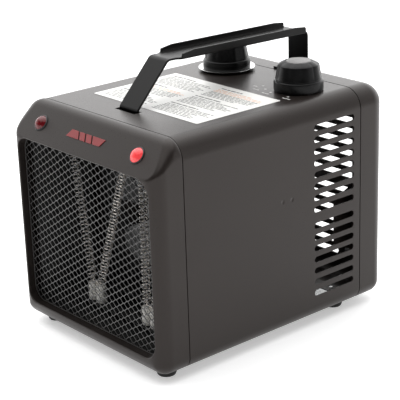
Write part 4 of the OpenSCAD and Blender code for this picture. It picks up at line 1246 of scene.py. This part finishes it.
def make_marks():
    """Printed dots around the selector, each with a short dash that stands for its wording."""
    c = cad_centre("selector_knob")
    parts = []
    for dx0, dy0, mx, my, length in ((-32.0, -12.5, -37.0, -17.5, 5.0), (-22.5, -18.8, -28.0, -25.0, 7.0),
                                     (-11.5, -23.0, -12.5, -28.5, 8.0), (10.5, -23.2, 13.5, -28.5, 9.0)):
        parts.append(peg("dot", 1.1, 0, 0.06, 20, Matrix.Translation((c.x + dx0, c.y + dy0, Z_TOP))))
        middle = Vector((c.x + mx, c.y + my))
        x0 = middle.x - length / 2
        for run in (0.38, 0.2, 0.3):
            w = run * length
            dash = block_points((x0, x0 + w), (middle.y - 0.75, middle.y + 0.75), (Z_TOP, Z_TOP + 0.06))
            parts.append(new_piece("dash", dash, BLOCK_FACES))
            x0 += w + 0.06 * length
    finish(smooth_join("selector_position_marks", parts), "print_white")


# ---------------------------------------------------------------- heating element

COIL_TURNS = [(-66, 1), (-46.5, 0), (-35.5, 0), (8, 1), (32, 1), (30.5, 0), (41.5, 0), (66, 1)]
WIRE_R = 0.55
COIL_PITCH = 3.2
BUSHING_LOW = 17.0
BUSHING_HIGH = 7.0


def make_coils():
    low, high = cad("low_heat_coil")
    y = (low.y + high.y) / 2
    coil_r = (high.y - low.y) / 2
    bar_low, bar_high = cad("element_bars")
    half_bar = 0.6
    z_low = bar_low.z + 2 * half_bar + BUSHING_LOW
    z_high = bar_high.z - 2 * half_bar - BUSHING_HIGH

    def face(up):
        """Height of a bushing's face."""
        return z_high if up else z_low

    def helix(a, b):
        start, end = Vector(a), Vector(b)
        d = end - start
        length = d.length
        d.normalize()
        u = d.cross(Vector((0, 1, 0))).normalized()
        v = d.cross(u)
        per_turn = 9
        turns = int((length - 4) / COIL_PITCH)
        count = turns * per_turn
        r = coil_r - WIRE_R - 0.05
        path = [start, start + d * 0.8]
        for k in range(count + 1):
            angle = 2 * math.pi * k / per_turn
            rise = 2.0 + (length - 4) * k / count
            grow = min(1.0, k / 5, (count - k) / 5)
            wobble = 1 + 0.02 * math.sin(k * 0.37)
            path.append(start + d * rise + r * grow * wobble * (math.cos(angle) * u + math.sin(angle) * v))
        path += [end - d * 0.8, end]
        return tube("helix", path, WIRE_R, 5)

    for first, heat in ((0, "low_heat"), (4, "high_heat")):
        parts = []
        for i in (first, first + 2):
            (xa, ua), (xb, ub) = COIL_TURNS[i], COIL_TURNS[i + 1]
            parts.append(helix((xa, y, face(ua)), (xb, y, face(ub))))
        (xa, ua), (xb, _) = COIL_TURNS[first + 1], COIL_TURNS[first + 2]
        z = face(ua) + (-0.8 if ua else 0.8)
        parts.append(tube("link", [(xa, y, z), ((xa + xb) / 2, y, z - 0.2), (xb, y, z)], 0.7, 8))
        finish(smooth_join(heat + "_helix", parts, 60), "heating_wire", node=heat + "_coil")
    # Ceramic bushings with a waist that the wire hooks around
    parts = []
    for x, up in COIL_TURNS:
        mid = bar_high.z - half_bar if up else bar_low.z + half_bar
        base = Matrix.Translation((x, y, mid)) @ Matrix.Diagonal((1, 1, -1 if up else 1, 1))
        if up:
            head = [(5.0, 1.0), (5.0, 2.2), (4.6, 2.6), (3.8, 3.0), (3.6, 3.6), (3.8, 4.2), (4.6, 4.6),
                    (5.0, 5.0), (5.0, 6.4), (4.6, 7.2), (3.8, 7.5), (0.9, 7.5)]
        else:
            head = [(5.0, 1.0), (5.0, 8.4), (4.7, 8.9), (3.9, 9.4), (3.6, 10.3), (3.9, 11.2), (4.7, 11.7),
                    (5.0, 12.3), (5.0, 16.0), (4.7, 16.9), (3.8, 17.4), (0.9, 17.4)]
        profile = [(0.9, -3.6), (2.2, -3.6), (2.5, -3.2), (2.5, 0.6), (4.6, 0.6)] + head + [(0.9, -3.6)]
        parts.append(lathe("bushing", profile, 32, base))
    finish(smooth_join("coil_bushings", parts), "ceramic_white", node="coil_insulators")


# ---------------------------------------------------------------- fan


def make_fan():
    """Stamped fan: a spider with five twisted blades on a turned hub."""
    low, high = cad("fan_blade")
    axis_z = cad_centre("motor_shaft").z
    mid_y = (low.y + high.y) / 2
    tip_r, hub_r, blades = 64.0, 13.0, 5
    parts = []
    for b in range(blades):
        turn = 2 * math.pi * b / blades
        rings = []
        for i in range(13):
            t = i / 12
            r = hub_r - 2.5 + (tip_r - hub_r + 2.5) * t
            half = math.radians(9 + 15 * math.sin(math.pi * min(1.0, 0.15 + t * 0.62)))
            pitch = math.radians(40 - 16 * t)
            ring = []
            for k in range(11):
                s = 2 * k / 10 - 1
                # rounded outer corners
                reach = r
                if t > 0.85:
                    reach = r - (abs(s) ** 4) * 6.0 * ((t - 0.85) / 0.15)
                a = turn + half * s
                y = math.sin(pitch) * half * s * min(r, 42) * 0.78 + 1.6 * (1 - s * s) * t
                ring.append((reach * math.sin(a), mid_y - y, axis_z + reach * math.cos(a)))
            rings.append(ring)
        blade = loft("blade", rings, closed=False)
        thicken(blade, 1.1, 0, False)
        parts.append(blade)
    place = facing((0, -1, 0), (0, mid_y, axis_z))
    hub = [(2.55, -7), (10.5, -7), (11.5, -6.4), (12.6, -2), (13.0, 0), (12.6, 2), (11.6, 5.6),
           (10.4, 7), (7.5, 7), (6.8, 6.2), (5.0, 6.2), (4.6, 7), (2.55, 7), (2.55, -7)]
    parts.append(lathe("hub", hub, 64, place))
    fan = join("fan_with_hub", parts)
    soften(fan, 0.2, 1, 50)
    finish(fan, "fan_alu", "fan", "fan_blade")


# ---------------------------------------------------------------- feet


def make_feet():
    low, high = cad("rubber_feet")
    r, h = 9.0, high.z - low.z
    profile = [(1.95, 3.1), (1.95, h), (r - 0.6, h), (r - 0.15, h - 0.3), (r, h - 0.9), (r - 0.15, 3.5),
               (r - 0.9, 1.0), (r - 1.4, 0.3), (r - 2.2, 0.0), (4.6, 0.0), (4.1, 0.35), (4.1, 3.0),
               (1.95, 3.1)]
    parts = [lathe("foot", profile, 64, Matrix.Translation((x, y, low.z)))
             for x in (low.x + r, high.x - r) for y in (low.y + r, high.y - r)]
    finish(smooth_join("rubber_feet_set", parts), "rubber_black", node="rubber_feet")


# ---------------------------------------------------------------- CAD nodes that stay as they are


def dress_cad_nodes():
    """Materials, and rounded edges, for the CAD nodes that are shown as they are."""
    for obj in frame["nodes"].values():
        for slot in obj.material_slots:
            key = slot.material.name.split(".")[0] if slot.material else ""
            if key in M and key in SLOTS:
                slot.material = M[key]
        if obj.name in ROUNDED:
            join_edges = obj.modifiers.new("join", "WELD")
            join_edges.merge_threshold = 0.002 * MM
            bevel_edges(obj, ROUNDED[obj.name], 2, 50)
            keep_flats(obj)


ROUNDED = {"thermostat_body": 0.5, "selector_switch": 0.5, "tip_over_switch": 0.5, "terminal_block": 0.5,
           "motor_mount": 0.2, "front_badge": 0.12}


# ---------------------------------------------------------------- build

make_camera()
make_floor()
make_light()
make_bezel()
make_wrap()
make_rear_cover()
make_grille()
make_handle()
make_screws()
make_knob("thermostat_knob", "thermostat_knob_cap", "thermostat_control", "thermostat_fluted_knob")
make_knob("selector_knob", "selector_knob_cap", "selector_control", "selector_fluted_knob")
make_dial_ring()
make_lamps()
make_label()
make_marks()
make_coils()
make_fan()
make_feet()
dress_cad_nodes()
